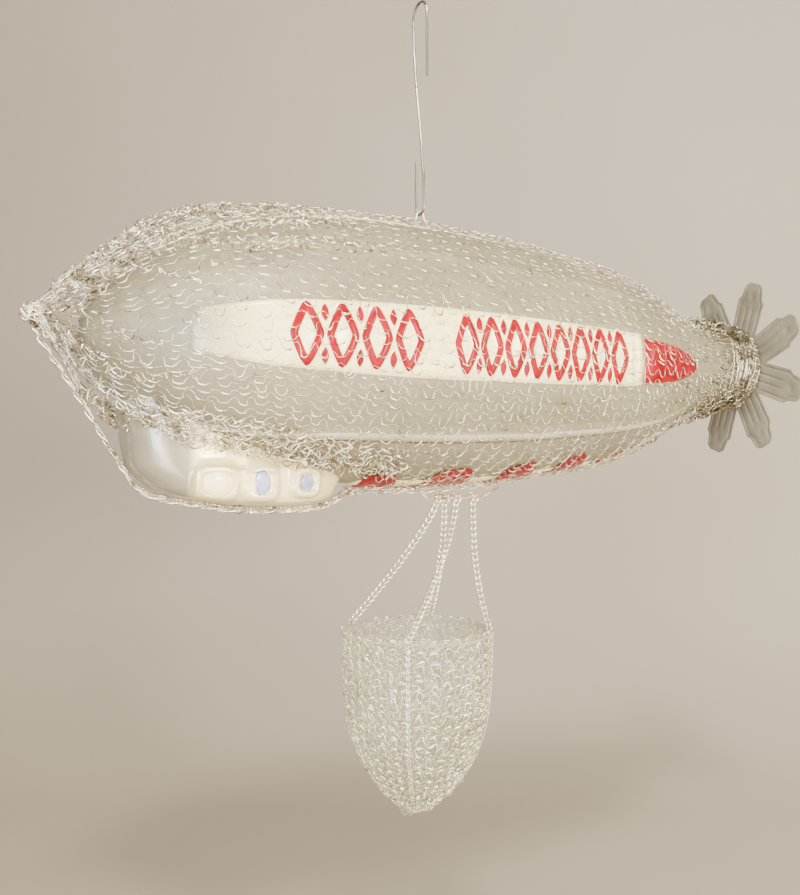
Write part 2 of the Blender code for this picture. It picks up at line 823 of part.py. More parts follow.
def build_stays(group, pivot):
    """The four doubled wires: each loops round the keel wire and flares to the rim."""
    loop_sweep = 290.0
    loop_points = 9
    for name, x, azimuth, power in STAYS:
        low = AXIS_Z - KEEL_WIRE_DROP
        points = []
        for k in range(loop_points):
            a = math.radians(-90.0 + loop_sweep * (k / (loop_points - 1) - 1.0))
            points.append(Vector((x, STAY_LOOP * math.cos(a), low + STAY_LOOP * math.sin(a))))
        top = points[-1]
        foot = rim_point(azimuth, RIM_RADIUS, -RIM_WIRE - GAP - STAY_WIRE / 2)
        for k in range(1, STAY_POINTS + 1):
            u = k / STAY_POINTS
            flare = u**power
            points.append(
                Vector(
                    (
                        top.x + (foot.x - top.x) * flare,
                        top.y + (foot.y - top.y) * flare,
                        top.z + (foot.z - top.z) * u,
                    )
                )
            )
        stay = tube(f"stay_{name}", [p - pivot for p in points], STAY_WIRE, "silver_wire", group)
        stay.location = pivot


def build_basket(group):
    """The knitted basket: its rim, its net, the wires down its sides and its end knot."""
    rim_points = 24
    rim = [rim_point(360.0 * k / rim_points, RIM_RADIUS, 0.0) for k in range(rim_points)]
    tube("basket_rim", rim, RIM_WIRE, "silver_wire", group, cyclic=True)

    first, last = BASKET_STATIONS[0][0], BASKET_STATIONS[-1][0]
    rings = []
    for i in range(BASKET_ROWS + 1):
        drop = first + (last - first) * i / BASKET_ROWS
        radius = between(BASKET_STATIONS, drop)[1]
        step = 180.0 / BASKET_COLUMNS
        rings.append([rim_point(step * k, radius, drop) for k in range(2 * BASKET_COLUMNS)])
    shape = lattice(rings, lambda middle: True)
    net = add_object("basket_net", mesh_from(shape, "basket_net"), "silver_wire", group)
    wire_bars(net, BASKET_BAR)

    for name, _, azimuth, _ in STAYS:
        rib = []
        for k in range(RIB_POINTS):
            drop = first + (RIB_END_DROP - first) * k / (RIB_POINTS - 1)
            radius = between(BASKET_STATIONS, drop)[1]
            rib.append(rim_point(azimuth, radius + RIB_STAND_OFF, drop))
        tube(f"basket_rib_{name}", rib, RIB_WIRE, "silver_wire", group)

    knot = turned(
        "basket_knot", bead_profile(KNOT_RADIUS, KNOT_HALF), "silver_wire", group, 12
    )
    knot.location = rim_point(0.0, 0.0, last)


def main():
    clear_scene()
    parts = collection("glass_airship")
    cutters = collection("cutters")
    build_hook(parts)
    build_hull(parts)
    build_gondola(parts, hull_cutter(cutters))
    build_windows(parts)
    build_panels(parts)
    build_net(parts)
    build_top_eye(parts)
    build_nose(parts)
    build_tail(parts)
    build_star(parts)
    build_keel_wire(parts)
    basket_pivot = Vector((0.0, 0.0, AXIS_Z - KEEL_WIRE_DROP))
    build_stays(parts, basket_pivot)
    build_basket(parts)


main()
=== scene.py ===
"""Looks of the blown-glass airship ornament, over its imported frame.

Metres, +Z up. The ship lies along X with its nose towards -X; port is -Y and starboard +Y.
Round the ship, 0 degrees is port, 90 the top, 180 starboard and 270 the keel.
"""

import math

import bpy
import numpy as np
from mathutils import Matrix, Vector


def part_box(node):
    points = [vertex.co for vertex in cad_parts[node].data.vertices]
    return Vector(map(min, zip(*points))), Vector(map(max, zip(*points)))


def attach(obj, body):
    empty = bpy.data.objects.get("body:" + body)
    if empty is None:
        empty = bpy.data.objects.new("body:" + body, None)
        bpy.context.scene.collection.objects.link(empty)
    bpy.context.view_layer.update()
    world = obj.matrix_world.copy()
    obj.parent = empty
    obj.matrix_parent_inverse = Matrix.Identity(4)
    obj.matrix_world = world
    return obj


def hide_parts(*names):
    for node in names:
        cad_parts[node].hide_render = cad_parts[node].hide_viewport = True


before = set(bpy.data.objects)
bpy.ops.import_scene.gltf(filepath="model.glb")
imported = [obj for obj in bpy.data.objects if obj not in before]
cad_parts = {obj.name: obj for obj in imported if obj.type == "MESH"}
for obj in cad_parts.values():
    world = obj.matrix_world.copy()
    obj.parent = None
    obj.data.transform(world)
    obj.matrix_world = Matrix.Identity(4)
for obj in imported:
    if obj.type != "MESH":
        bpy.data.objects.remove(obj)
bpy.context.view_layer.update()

# The hull and the net, as the frame has them
CAP_LOW, CAP_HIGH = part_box("tail_cap")
AXIS_Z = (CAP_LOW.z + CAP_HIGH.z) / 2
HULL_TIP_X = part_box("hull")[0].x
# The glass hull: position along X, radius, rise of the ring's centre
HULL_STATIONS = (
    (HULL_TIP_X, 0.0, 0.0),
    (-0.0775, 0.0035, 0.0),
    (-0.0755, 0.0068, 0.0),
    (-0.0700, 0.0123, 0.0),
    (-0.0600, 0.0200, 0.0),
    (-0.0450, 0.0260, -0.0001),
    (-0.0250, 0.0293, -0.0006),
    (-0.0050, 0.0297, -0.0010),
    (0.0150, 0.0287, -0.0013),
    (0.0350, 0.0264, -0.0015),
    (0.0480, 0.0244, -0.0016),
    (0.0590, 0.0214, -0.0017),
    (0.0680, 0.0175, -0.0016),
    (0.0770, 0.0133, -0.0013),
    (0.0850, 0.0108, -0.0009),
    (0.0930, 0.0098, -0.0003),
    (0.1010, 0.0097, 0.0),
)
NECK_WALL = 0.0006
LIP_DEPTH = 0.005
FULL_RADIUS = 0.020  # where the ship is thinner, the ridges fade and the stitches widen
# The ridges between the quarters: position along X, degrees above and below the beam
RIDGE_STATIONS = (
    (-0.0780, 66.0),
    (-0.0700, 62.0),
    (-0.0600, 55.0),
    (-0.0480, 49.5),
    (-0.0390, 45.3),
    (-0.0280, 41.5),
    (-0.0150, 40.2),
    (0.0600, 39.5),
    (0.1010, 39.5),
)
RIDGE_RISE = 0.0008
RIDGE_HALF = 2.6  # degrees
# Strips along the two lower ridges: name, finish, lower and upper edge in degrees, rise. The swelling is
# painted paler as a painted sheen, and the strip under it is painted shade for the crease
RIDGE_STRIP_X = (-0.0640, 0.0740)
RIDGE_STRIPS = (
    ("ridge_sheen_strips", "ridge", -3.4, 1.8, 0.00012),
    ("ridge_crease_shade", "crease_shade", -3.2, -2.1, 0.00025),
)
# The net round the hull: position along X, radius, rise of the ring's centre
NET_STATIONS = (
    (-0.0880, 0.0012, 0.0041),
    (-0.0850, 0.0028, 0.0041),
    (-0.0815, 0.0073, 0.0036),
    (-0.0738, 0.0160, 0.0012),
    (-0.0616, 0.0254, 0.0004),
    (-0.0420, 0.0295, 0.0),
    (-0.0220, 0.0309, -0.0006),
    (-0.0050, 0.0310, -0.0010),
    (0.0170, 0.0298, -0.0013),
    (0.0350, 0.0278, -0.0015),
    (0.0490, 0.0257, -0.0016),
    (0.0600, 0.0225, -0.0017),
    (0.0700, 0.0179, -0.0016),
    (0.0800, 0.0136, -0.0012),
    (0.0880, 0.0117, -0.0006),
    (0.0965, 0.0109, 0.0),
    (0.1000, 0.0113, 0.0),
)
NET_COURSES = 78  # wires along the ship
NET_STITCHES = 48  # stitches along each wire
NET_WIRE = 0.00017
NET_DEPTH = 0.0011  # how far out a lift of 1 takes a wire
STITCH_STEPS = 10  # points to each stitch
# Its gathered strands: length of a stitch, broad direction
STRAND_PITCH = 0.0042
STRAND_BROAD = np.array((0.0, 0.6, 0.8))
# Where the wires stand off the neck: along X, from none to most, and back to none
FLARE_START = (0.0740, 0.0860)
FLARE_END = (0.0890, 0.0995)

# Where the gondola pushes through the net
WINDOW_START = (-0.0820, -0.0740)
WINDOW_END = (-0.0230, -0.0130)
CHIN_HALF = 15.0  # degrees of net gathered in the strand under the gondola
# The net's lower edge beside the gondola: position along X, degrees off the keel
SEAT_STATIONS = (
    (-0.0820, 25.0),
    (-0.0720, 28.0),
    (-0.0660, 33.0),
    (-0.0550, 36.0),
    (-0.0450, 35.0),
    (-0.0340, 31.0),
    (-0.0250, 29.0),
    (-0.0120, 27.0),
)
CROWD_ANGLE = 80.0  # degrees off the keel up to which the other courses crowd
# The gathered strand: position along X, drop below the centreline
CHIN_ROUTE = (
    (-0.0880, -0.0041),
    (-0.0866, -0.0012),
    (-0.0832, 0.0040),
    (-0.0796, 0.0096),
    (-0.0730, 0.0205),
    (-0.0687, 0.0274),
    (-0.0665, 0.0304),
    (-0.0614, 0.0328),
    (-0.0510, 0.0347),
    (-0.0437, 0.0357),
    (-0.0290, 0.0359),
    (-0.0239, 0.0350),
    (-0.0185, 0.0324),
    (-0.0100, 0.0322),
)

# The raised band on each quarter, its ornaments and the patch behind it: name, degrees, the
# band's front end, half width of band and patch in degrees, the ornaments' half height and rise
QUARTERS = (
    ("port", 0.0, -0.0615, 14.5, 12.6, 0.0061, 0.0006),
    ("top", 90.0, -0.0615, 10.0, 16.1, 0.00427, 0.0002),
    ("starboard", 180.0, -0.0615, 14.5, 12.6, 0.0061, 0.0006),
    ("keel", 270.0, -0.0195, 14.5, 12.6, 0.0061, 0.0006),
)
BAND_BACK_X = 0.0466
BAND_RISE = 0.00045
SUNK = 0.0001  # how deep the edges of raised work lie in the skin
RIB_XS = (0.0419, 0.0447)
RIB_HALF_X = 0.0008
PATCH_X = (0.0474, 0.0728)
PATCH_RISE = 0.0006
# Runs of ornaments: where the run starts and ends along X, how many
MOTIF_RUNS = ((-0.0438, -0.0156, 4), (-0.0088, 0.0410, 8))
# The keel's long strokes: front and back ends
KEEL_BARS = ((-0.0172, -0.0086), (-0.0022, 0.0104), (0.0176, 0.0285), (0.0355, 0.0440))
KEEL_BAR_WIDTH = math.radians(60.0) * 0.029
KEEL_BAR_RISE = 0.0005

# The gondola: drop below the centreline, front end, back end, half width
GONDOLA_LEVELS = (
    (0.0100, -0.0705, -0.0208, 0.0125),
    (0.0255, -0.0685, -0.0216, 0.0125),
    (0.0315, -0.0650, -0.0240, 0.0123),
    (0.0336, -0.0625, -0.0262, 0.0116),
    (0.0344, -0.0595, -0.0292, 0.0098),
)
GONDOLA_RAKE = 0.0026  # how much its bottom rises towards the nose
GONDOLA_RAKE_X = (-0.0360, -0.0622)
GONDOLA_SQUARENESS = 3.0
# Its rounded bottom: share of the lowest level's size, fall below that level
GONDOLA_BOTTOM = ((0.93, 0.00018), (0.8, 0.00028), (0.5, 0.00034), (0.02, 0.00036))
# Windows: name, position along X, half length, half height
WINDOWS = (
    ("front", -0.0534, 0.0030, 0.0024),
    ("middle", -0.0441, 0.0020, 0.0026),
    ("rear", -0.0339, 0.0017, 0.0019),
)
WINDOW_DROP = 0.0296
WINDOW_BOSS = 0.0013
WINDOW_FRAME = (0.0017, 0.0014)  # how much wider and taller the swelling round it is
# Lilac windows: which points of the rim have a dark outline, and which a pale glint, a painted highlight
WINDOW_OUTLINE_GLINT = {
    "middle": ((14, 40), (37, 49)),
    "rear": ((18, 32), (42, 49)),
}

# The tail star
STAR_THICK = 0.0003
STAR_BLADES = 8
HALF_STEP = math.pi / STAR_BLADES
STAR_BORE = 0.0011
STAR_TURN = 18.0  # degrees
# Half of a blade's outline: distance from the centre, half width
BLADE_OUTLINE = (
    (0.0193, 0.0046),
    (0.0203, 0.0037),
    (0.0234, 0.0031),
    (0.0244, 0.0017),
)
STAR_NOTCH = 0.0112
STAR_LINE = 0.00026  # how high its pressed lines stand

# The basket
RIM_LOW, RIM_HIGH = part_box("basket_rim")
BASKET_X = (RIM_LOW.x + RIM_HIGH.x) / 2
RIM_Z = (RIM_LOW.z + RIM_HIGH.z) / 2
RIM_RADIUS = 0.0172
KEEL_WIRE_Z = AXIS_Z - 0.0345
# The stays: name, position along X on the keel wire, azimuth at the rim, exponent of the flare
STAYS = (
    ("fore", 0.0044, 129.0, 1.2),
    ("starboard", 0.0066, 50.0, 2.0),
    ("port", 0.0098, 235.0, 1.5),
    ("aft", 0.0147, 326.0, 2.6),
)
# The basket's net: drop below the rim, radius
BASKET_STATIONS = (
    (0.0000, 0.0172),
    (0.0110, 0.0169),
    (0.0210, 0.0159),
    (0.0290, 0.0133),
    (0.0345, 0.0099),
    (0.0380, 0.0070),
    (0.0408, 0.0038),
)
BASKET_COURSES = 19
BASKET_STITCHES = 34
BASKET_WIRE = 0.00018
CHAIN_PITCH = 0.00145
CHAIN_HALF = 0.00062
CHAIN_WIRE = 0.00034

# The photograph's camera: place, turn about Z in degrees, focal length in millimetres
CAMERA_PLACE = (-0.11497, -0.20615, -0.1047)
CAMERA_TURN = -28.0
CAMERA_LENS = 40.22

# The studio
FLOOR_Z = -0.245
FLOOR_BEND = 0.30  # radius of the curve from floor to wall
FLOOR_END = 0.15  # how far behind the ship the curve begins
FLOOR_REACH = 1.6
FLOOR_HALF_WIDTH = 1.8
# where along X the sweep's painted light turns from dark to pale
FLOOR_FADE_X = (-0.30, 0.55)
MIDDLE = (0.0, 0.0, AXIS_Z)
# Lights: name, place, width and height, power, colour, target where it isn't the ship's middle
LIGHTS = (
    ("key", (-0.15, -0.35, 0.55), (0.80, 0.60), 1.5, (1.0, 0.93, 0.78)),
    ("spark", (-0.16, -0.33, 0.30), (0.08, 0.08), 3.8, (1.0, 0.94, 0.80)),
    ("front", (0.02, -0.66, -0.04), (0.12, 0.12), 6.6, (1.0, 0.91, 0.74)),
    ("side", (0.50, -0.50, -0.02), (0.16, 0.16), 3.0, (1.0, 0.94, 0.80)),
    ("window", (-0.50, -0.44, -0.07), (0.20, 0.28), 7.0, (0.60, 0.78, 1.0)),
    ("lamp", (-0.36, -0.42, -0.215), (0.14, 0.10), 1.3, (1.0, 0.68, 0.36)),
    ("low", (-0.20, -0.20, -0.215), (0.12, 0.08), 0.3, (1.0, 0.90, 0.74), (0.1, 0.0, AXIS_Z)),
    ("bounce", (0.05, -0.40, -0.235), (0.50, 0.30), 3.2, (1.0, 0.92, 0.79)),
)
AIR_COLOUR = (0.82, 0.735, 0.59)
AIR_STRENGTH = 1.08

# Finishes: what shine stands for, and the colours
SHINE = ("Roughness", "Metallic", "Coat Weight", "Coat Roughness", "Specular IOR Level")
OLD_SILVER = (0.34, 0.28, 0.18)
NEW_SILVER = (0.96, 0.89, 0.70)
BARE_GLASS = (0.265, 0.236, 0.153)
# Cream over bare glass: where along X it turns, the glass, the cream
BAND_CREAM = ((-0.0610, -0.0490), BARE_GLASS, (1.0, 0.86, 0.42))
CABIN_CREAM = ((-0.0590, -0.0572), (0.27, 0.236, 0.16), (0.80, 0.665, 0.325))
# The sweep's colours: painted light, darker towards -X and paler towards +X
FLOOR_DARK = (0.27, 0.217, 0.16)
FLOOR_LIGHT = (0.47, 0.42, 0.347)


# Shapes

def read_table(table, x):
    """A table's columns read at many x, smoothly: a cubic through each pair of rows."""
    rows = np.array(table, float)
    x = np.clip(np.asarray(x, float), rows[0, 0], rows[-1, 0])
    low = np.clip(np.searchsorted(rows[:, 0], x, side="right") - 1, 0, len(rows) - 2)
    before = np.maximum(low - 1, 0)
    after = np.minimum(low + 2, len(rows) - 1)
    span = rows[low + 1, 0] - rows[low, 0]
    t = ((x - rows[low, 0]) / span)[..., None]
    lead = (span / (rows[low + 1, 0] - rows[before, 0]))[..., None]
    trail = (span / (rows[after, 0] - rows[low, 0]))[..., None]
    slope_low = (rows[low + 1] - rows[before]) * lead
    slope_high = (rows[after] - rows[low]) * trail
    found = (
        rows[low] * (2 * t**3 - 3 * t**2 + 1)
        + slope_low * (t**3 - 2 * t**2 + t)
        + rows[low + 1] * (3 * t**2 - 2 * t**3)
        + slope_high * (t**3 - t**2)
    )
    return np.moveaxis(found, -1, 0)


def ease(start, end, x):
    """0 at start, 1 at end and a smooth rise between them."""
    t = np.clip((x - start) / (end - start), 0, 1)
    return t * t * (3 - 2 * t)


def hump(rise, fall, x):
    """1 between a smooth rise and a smooth fall, each given by its start and end."""
    return ease(*rise, x) * (1 - ease(*fall, x))


def pack(*parts):
    """Points, or other rows, from their coordinates."""
    return np.stack(np.broadcast_arrays(*parts), -1)


def around(x, radius, degrees, rise=0.0):
    """Points on rings about the ship's centreline."""
    a = np.radians(degrees)
    return pack(x, -radius * np.cos(a), AXIS_Z + rise + radius * np.sin(a))


def oval(a, power):
    """Cosine and sine of a, to a power, with their signs kept."""
    return (np.sign(w) * np.abs(w) ** power for w in (np.cos(a), np.sin(a)))


def drift(seed, u, v, reach):
    """Smooth irregularity between -1 and 1: waves about as long as reach."""
    rng = np.random.default_rng(seed)
    total = np.zeros(np.broadcast(u, v).shape)
    waves = 6
    for _ in range(waves):
        heading = rng.uniform(0, math.tau)
        pace = rng.uniform(0.6, 1.5) * math.tau / reach
        start = rng.uniform(0, math.tau)
        total += np.sin(pace * (u * math.cos(heading) + v * math.sin(heading)) + start)
    return total / waves


def new_object(name, data):
    made = bpy.data.objects.new(name, data)
    bpy.context.scene.collection.objects.link(made)
    return made


def add_piece(data, look, body="airship"):
    """A mesh as a piece of the same name, with one of the finishes, riding on a body."""
    piece = new_object(data.name, data)
    data.materials.append(FINISHES[look])
    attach(piece, body)
    return piece


def mesh_of(name, points, faces):
    data = bpy.data.meshes.new(name)
    data.from_pydata(points.reshape(-1, 3).tolist(), [], faces)
    data.shade_smooth()
    return data


def grid_faces(rows, columns, wrap, start):
    """Quads of a grid of points, the first of which is number start."""
    faces = []
    for i in range(rows - 1):
        for j in range(columns if wrap else columns - 1):
            k = (j + 1) % columns
            low, high = start + i * columns, start + (i + 1) * columns
            faces.append((low + j, low + k, high + k, high + j))
    return faces


def grid_mesh(name, *grids, wrap=False):
    """One mesh from grids of points, whose columns may close into a ring."""
    points, faces, start = [], [], 0
    for grid in grids:
        rows, columns = grid.shape[:2]
        faces += grid_faces(rows, columns, wrap, start)
        points.append(grid.reshape(-1, 3))
        start += rows * columns
    return mesh_of(name, np.concatenate(points), faces)


def unit(vectors):
    return vectors / np.maximum(np.linalg.norm(vectors, axis=-1, keepdims=True), 1e-12)


def wires(name, paths, radius, sides=4):
    """One mesh of many thin tubes: wires by points by three, and one radius or many."""
    paths = np.asarray(paths, float)
    count, length = paths.shape[:2]
    along = unit(np.gradient(paths, axis=1))
    across = np.zeros_like(paths)
    seed = np.where(np.abs(along[:, 0, 2:3]) < 0.9, [[0.0, 0.0, 1.0]], [[1.0, 0.0, 0.0]])
    turn = unit(np.cross(along[:, 0], seed))
    for i in range(length):
        turn = unit(turn - along[:, i] * np.sum(turn * along[:, i], -1, keepdims=True))
        across[:, i] = turn
    other = np.cross(along, across)
    corner = math.tau * np.arange(sides) / sides
    ring = across[:, :, None] * np.cos(corner)[:, None]
    ring = ring + other[:, :, None] * np.sin(corner)[:, None]
    thick = np.broadcast_to(radius, (count, length))[:, :, None, None]
    points = paths[:, :, None] + ring * thick
    faces = []
    for w in range(count):
        start = w * length * sides
        faces += grid_faces(length, sides, True, start)
        last = start + (length - 1) * sides
        faces.append(tuple(range(start + sides - 1, start - 1, -1)))
        faces.append(tuple(range(last, last + sides)))
    return mesh_of(name, points, faces)


def knit(courses, stitches, place, seed, tall=0.40, kink=0.018, ends=None, bead=1.5):
    """Paths and thickness of rows of shallow stitches, plump where they hang.

    place(u, v, lift, course) puts net coordinates in space. Some stitches are pulled up
    as far as the next row. ends says within how many stitches of either end a wire may
    begin and stop; bead says how much the plump part is narrowed to a bead.
    """
    rng = np.random.default_rng(seed)
    turn = math.tau * np.arange(stitches * STITCH_STEPS + 1)[None] / STITCH_STEPS
    course = np.asarray(courses, float)[:, None]
    number = np.floor(turn / math.tau + 0.25).astype(int)
    row = np.arange(len(course))[:, None]
    shape = (len(course), stitches + 2)
    pulled = rng.random(shape) < 0.14
    reach = rng.uniform(0.55, 1.35, shape) * tall + pulled * rng.uniform(0.3, 0.8, shape)
    reach = reach[row, number]
    skew = rng.uniform(-0.10, 0.10, shape)[row, number]
    wave = 0.95 - 1.7 * np.abs(np.cos(turn / 2)) ** 1.3
    u = turn / math.tau + 0.06 * np.sin(2 * turn) + skew * np.cos(turn)
    v = course + reach * wave
    lift = 0.20 * np.cos(turn)
    jitter = rng.normal(0.0, kink, (3, *v.shape))
    u = u + jitter[0] + 0.45 * drift(seed + 1, turn / 6, course, 6.0)
    v = v + 1.5 * jitter[1] + 0.75 * drift(seed + 2, turn / 6, course, 6.0)
    lift = lift + 2 * jitter[2] + 0.30 * drift(seed + 3, turn / 6, course, 7.0)
    if ends:
        first, last = ends
        once = (len(course), 1)
        begin = rng.uniform(0.0, first, once) * (rng.random(once) < 0.3)
        stop = rng.uniform(0.0, last, once) * (rng.random(once) < 0.35)
        u = np.clip(u, begin, stitches - stop)
    hang = (0.5 + 0.5 * np.cos(turn)) ** bead
    plump = 0.33 + rng.uniform(0.2, 1.4, shape)[row, number] * hang
    return place(u, v, lift, course), plump


def curls(base, loops, reach, seed):
    """Curly wires: each follows base, of wires by points by three, in uneven loops."""
    rng = np.random.default_rng(seed)
    count, length = base.shape[:2]
    s = np.linspace(0, 1, length)[None]
    start = rng.uniform(0, math.tau, (3, count, 1))
    pace = rng.uniform(0.75, 1.3, (3, count, 1)) * loops * math.tau
    row = np.arange(count)[:, None]
    wander = [drift(seed + k, 9 * s, 5.0 * row, 2.0) for k in range(3)]
    swing = [np.sin(pace[k] * s + start[k] + 2.5 * wander[k]) for k in range(3)]
    size = reach * (0.65 + 0.6 * wander[0])
    paths = base + pack(*swing) * size[..., None]
    plump = 0.5 + 1.8 * np.abs(drift(seed + 5, 40 * s, 7.0 * row, 2.0))
    return paths, np.clip(plump, 0.45, 1.5)


# Finishes

def finish(name, *shine):
    """A new material with the values of SHINE; returns it, its tree and its shader."""
    made = bpy.data.materials.new(name)
    made.use_nodes = True
    shader = made.node_tree.nodes["Principled BSDF"]
    for title, value in zip(SHINE, shine):
        shader.inputs[title].default_value = value
    return made, made.node_tree, shader


def node(tree, kind, **inputs):
    """A new node's outputs; each input takes a value, or the output that feeds it."""
    made = tree.nodes.new(kind)
    for name, value in inputs.items():
        entry = made.inputs[name.replace("_", " ")]
        if isinstance(value, bpy.types.NodeSocket):
            tree.links.new(value, entry)
        else:
            entry.default_value = value
    return made.outputs


def place_noise(tree, scale, detail=3.0, stretch=(1.0, 1.0, 1.0)):
    """Noise in the piece's own coordinates, with scale in waves to the metre."""
    place = node(tree, "ShaderNodeTexCoord")["Object"]
    place = node(tree, "ShaderNodeMapping", Vector=place, Scale=stretch)["Vector"]
    return node(tree, "ShaderNodeTexNoise", Vector=place, Scale=scale, Detail=detail)["Fac"]


def spread_noise(tree, low, high, *noise):
    """Noise spread between low and high."""
    span = {"From_Min": 0.3, "From_Max": 0.7, "To_Min": low, "To_Max": high}
    return node(tree, "ShaderNodeMapRange", Value=place_noise(tree, *noise), **span)["Result"]


def colour_by(tree, shader, source, stops):
    """Colour from a ramp over source: stops are positions with colours."""
    made = tree.nodes.new("ShaderNodeValToRGB")
    band = made.color_ramp
    while len(band.elements) < len(stops):
        band.elements.new(0.5)
    for element, (position, colour) in zip(band.elements, stops):
        element.position = position
        element.color = (*colour, 1.0)
    tree.links.new(source, made.inputs["Fac"])
    tree.links.new(made.outputs["Color"], shader.inputs["Base Color"])


def share_along(tree, start, end):
    """How far a point lies along X, from 0 at start to 1 at end."""
    place = node(tree, "ShaderNodeTexCoord")["Object"]
    x = node(tree, "ShaderNodeSeparateXYZ", Vector=place)["X"]
    return node(tree, "ShaderNodeMapRange", Value=x, From_Min=start, From_Max=end)["Result"]


def roughen(tree, shader, grain, rough, bumps, depth, strength):
    """Noise in the roughness and in the height."""
    height = place_noise(tree, *bumps)
    bump = node(tree, "ShaderNodeBump", Height=height, Strength=strength, Distance=depth)
    tree.links.new(spread_noise(tree, *rough, *grain), shader.inputs["Roughness"])
    tree.links.new(bump["Normal"], shader.inputs["Normal"])


def clouded(name, shine, clouds, stops, grain, rough, bumps, depth, strength=1.0):
    """A surface whose colour, roughness and height each follow a noise of their own.

    shine goes to finish, clouds, grain and bumps to place_noise; rough is low and high.
    """
    made, tree, shader = finish(name, *shine)
    colour_by(tree, shader, place_noise(tree, *clouds), stops)
    roughen(tree, shader, grain, rough, bumps, depth, strength)
    return made


def silver_wire(name, dark, light, tarnish, metallic=1.0):
    """Crinkled silver wire, bright where it catches light and tarnished in places."""
    shine, rough = (0.25, metallic), (0.18, 0.38)
    stops = ((tarnish, dark), (tarnish + 0.12, light))
    return clouded(name, shine, (420.0,), stops, (900.0,), rough, (3200.0, 2.0), 0.00012)


def steel_wire():
    """Drawn hook wire."""
    shine, rough = (0.3, 1.0), (0.22, 0.38)
    streaks = (900.0, 3.0, (1.0, 1.0, 0.08))
    stops = ((0.3, (0.20, 0.20, 0.19)), (0.7, (0.44, 0.44, 0.42)))
    return clouded("steel_wire_look", shine, streaks, stops, streaks, rough, streaks, 0.00003)


def silvered_glass(name, dark, light, metallic, roughness, coat):
    """Silvered glass with a frosted bloom and slow blown unevenness; fine wire has it too."""
    shine, rough = (roughness, metallic, coat, 0.08), (roughness - 0.06, roughness + 0.08)
    bloom, stops = (55.0, 4.0, (0.5, 1.0, 1.0)), ((0.3, dark), (0.7, light))
    return clouded(name, shine, bloom, stops, (140.0, 5.0), rough, (90.0, 6.0), 0.0004, 0.35)


def cream_lacquer(name, fade, bare, cream, shine, bumps, strength):
    """Pearly lacquer that begins as bare glass in front, turning along X where fade says."""
    made, tree, shader = finish(name, *shine)
    colour_by(tree, shader, share_along(tree, *fade), ((0.0, bare), (1.0, cream)))
    rough = (shine[0] - 0.06, shine[0] + 0.08)
    roughen(tree, shader, (140.0, 5.0), rough, bumps, 0.0004, strength)
    return made


def painted(name, dark, light, roughness, gloss=0.6):
    """Lacquer, thin where the glass shows through it."""
    shine, rough = (roughness, 0.0, gloss, 0.06, 0.5 * gloss), (roughness - 0.05, roughness + 0.1)
    stops = ((0.35, dark), (0.68, light))
    return clouded(name, shine, (330.0,), stops, (700.0,), rough, (500.0,), 0.00012, 0.6)


def pressed_foil():
    """Dull embossed foil on card, a little stained."""
    shine, rough, stains = (0.5, 0.12), (0.42, 0.62), (160.0, 5.0)
    stops = (
        (0.3, (0.15, 0.128, 0.086)),
        (0.55, (0.205, 0.18, 0.124)),
        (0.75, (0.25, 0.222, 0.157)),
    )
    return clouded("pressed_foil_look", shine, stains, stops, stains, rough, (1500.0,), 0.00006, 0.7)


FINISHES = {
    "wire": silver_wire("silver_wire_look", OLD_SILVER, NEW_SILVER, 0.34),
    "bright_wire": silver_wire("bright_wire_look", OLD_SILVER, NEW_SILVER, 0.37),
    "stay_wire": silver_wire("stay_wire_look", (0.60, 0.54, 0.38), (0.95, 0.88, 0.66), 0.26, 0.9),
    "basket_wire": silver_wire("basket_wire_look", (0.50, 0.47, 0.32), (0.95, 0.90, 0.66), 0.30, 0.6),
    "fine_wire": silvered_glass("fine_wire_look", (0.43, 0.41, 0.265), (0.53, 0.51, 0.34), 0.3, 0.45, 0.0),
    "dull_wire": silver_wire("dull_wire_look", (0.10, 0.08, 0.05), (0.62, 0.56, 0.43), 0.44),
    # darker all over than the net's wire: painted shade for the crumpled neck, with patches that vary at
    # random
    "tail_wire": silver_wire("tail_wire_look", (0.13, 0.105, 0.065), (0.62, 0.555, 0.42), 0.42),
    "steel": steel_wire(),
    "glass": silvered_glass("frosted_glass_look", (0.20, 0.175, 0.108), BARE_GLASS, 0.1, 0.5, 0.03),
    # a paler glass: painted sheen along the two lower ridges
    "ridge": silvered_glass("ridge_sheen_look", (0.31, 0.28, 0.185), (0.37, 0.335, 0.23), 0.1, 0.45, 0.04),
    "band": cream_lacquer("pearl_band_look", *BAND_CREAM, (0.32, 0.05, 0.3, 0.1), (90.0, 6.0), 0.35),
    "gondola": cream_lacquer("cabin_glass_look", *CABIN_CREAM, (0.28, 0.2, 0.5, 0.1), (130.0, 5.0), 0.4),
    "red": painted("red_lacquer_look", (0.20, 0.0, 0.004), (0.34, 0.001, 0.011), 0.3, 0.12),
    "lilac": painted("lilac_lacquer_look", (0.22, 0.22, 0.38), (0.44, 0.42, 0.62), 0.25),
    "pearl": painted("pearl_lacquer_look", (1.0, 0.84, 0.38), (1.0, 0.90, 0.52), 0.22),
    "slate": painted("slate_line_look", (0.05, 0.06, 0.13), (0.14, 0.16, 0.28), 0.35),
    # painted shade: a dark strip in the crease under each lower ridge
    "crease_shade": painted("crease_shade_look", (0.08, 0.065, 0.04), (0.16, 0.13, 0.085), 0.4, 0.1),
    "foil": pressed_foil(),
}


# The glass hull

def ridge_swell(x, degrees):
    """How far the nearest ridge lifts the skin at this angle."""
    half = read_table(RIDGE_STATIONS, x)[1]
    ridges = (half, 180 - half, 180 + half, 360 - half)
    off = np.min([np.abs((degrees - r + 180) % 360 - 180) for r in ridges], axis=0)
    return RIDGE_RISE * np.maximum(0.0, 1 - (off / RIDGE_HALF) ** 2)


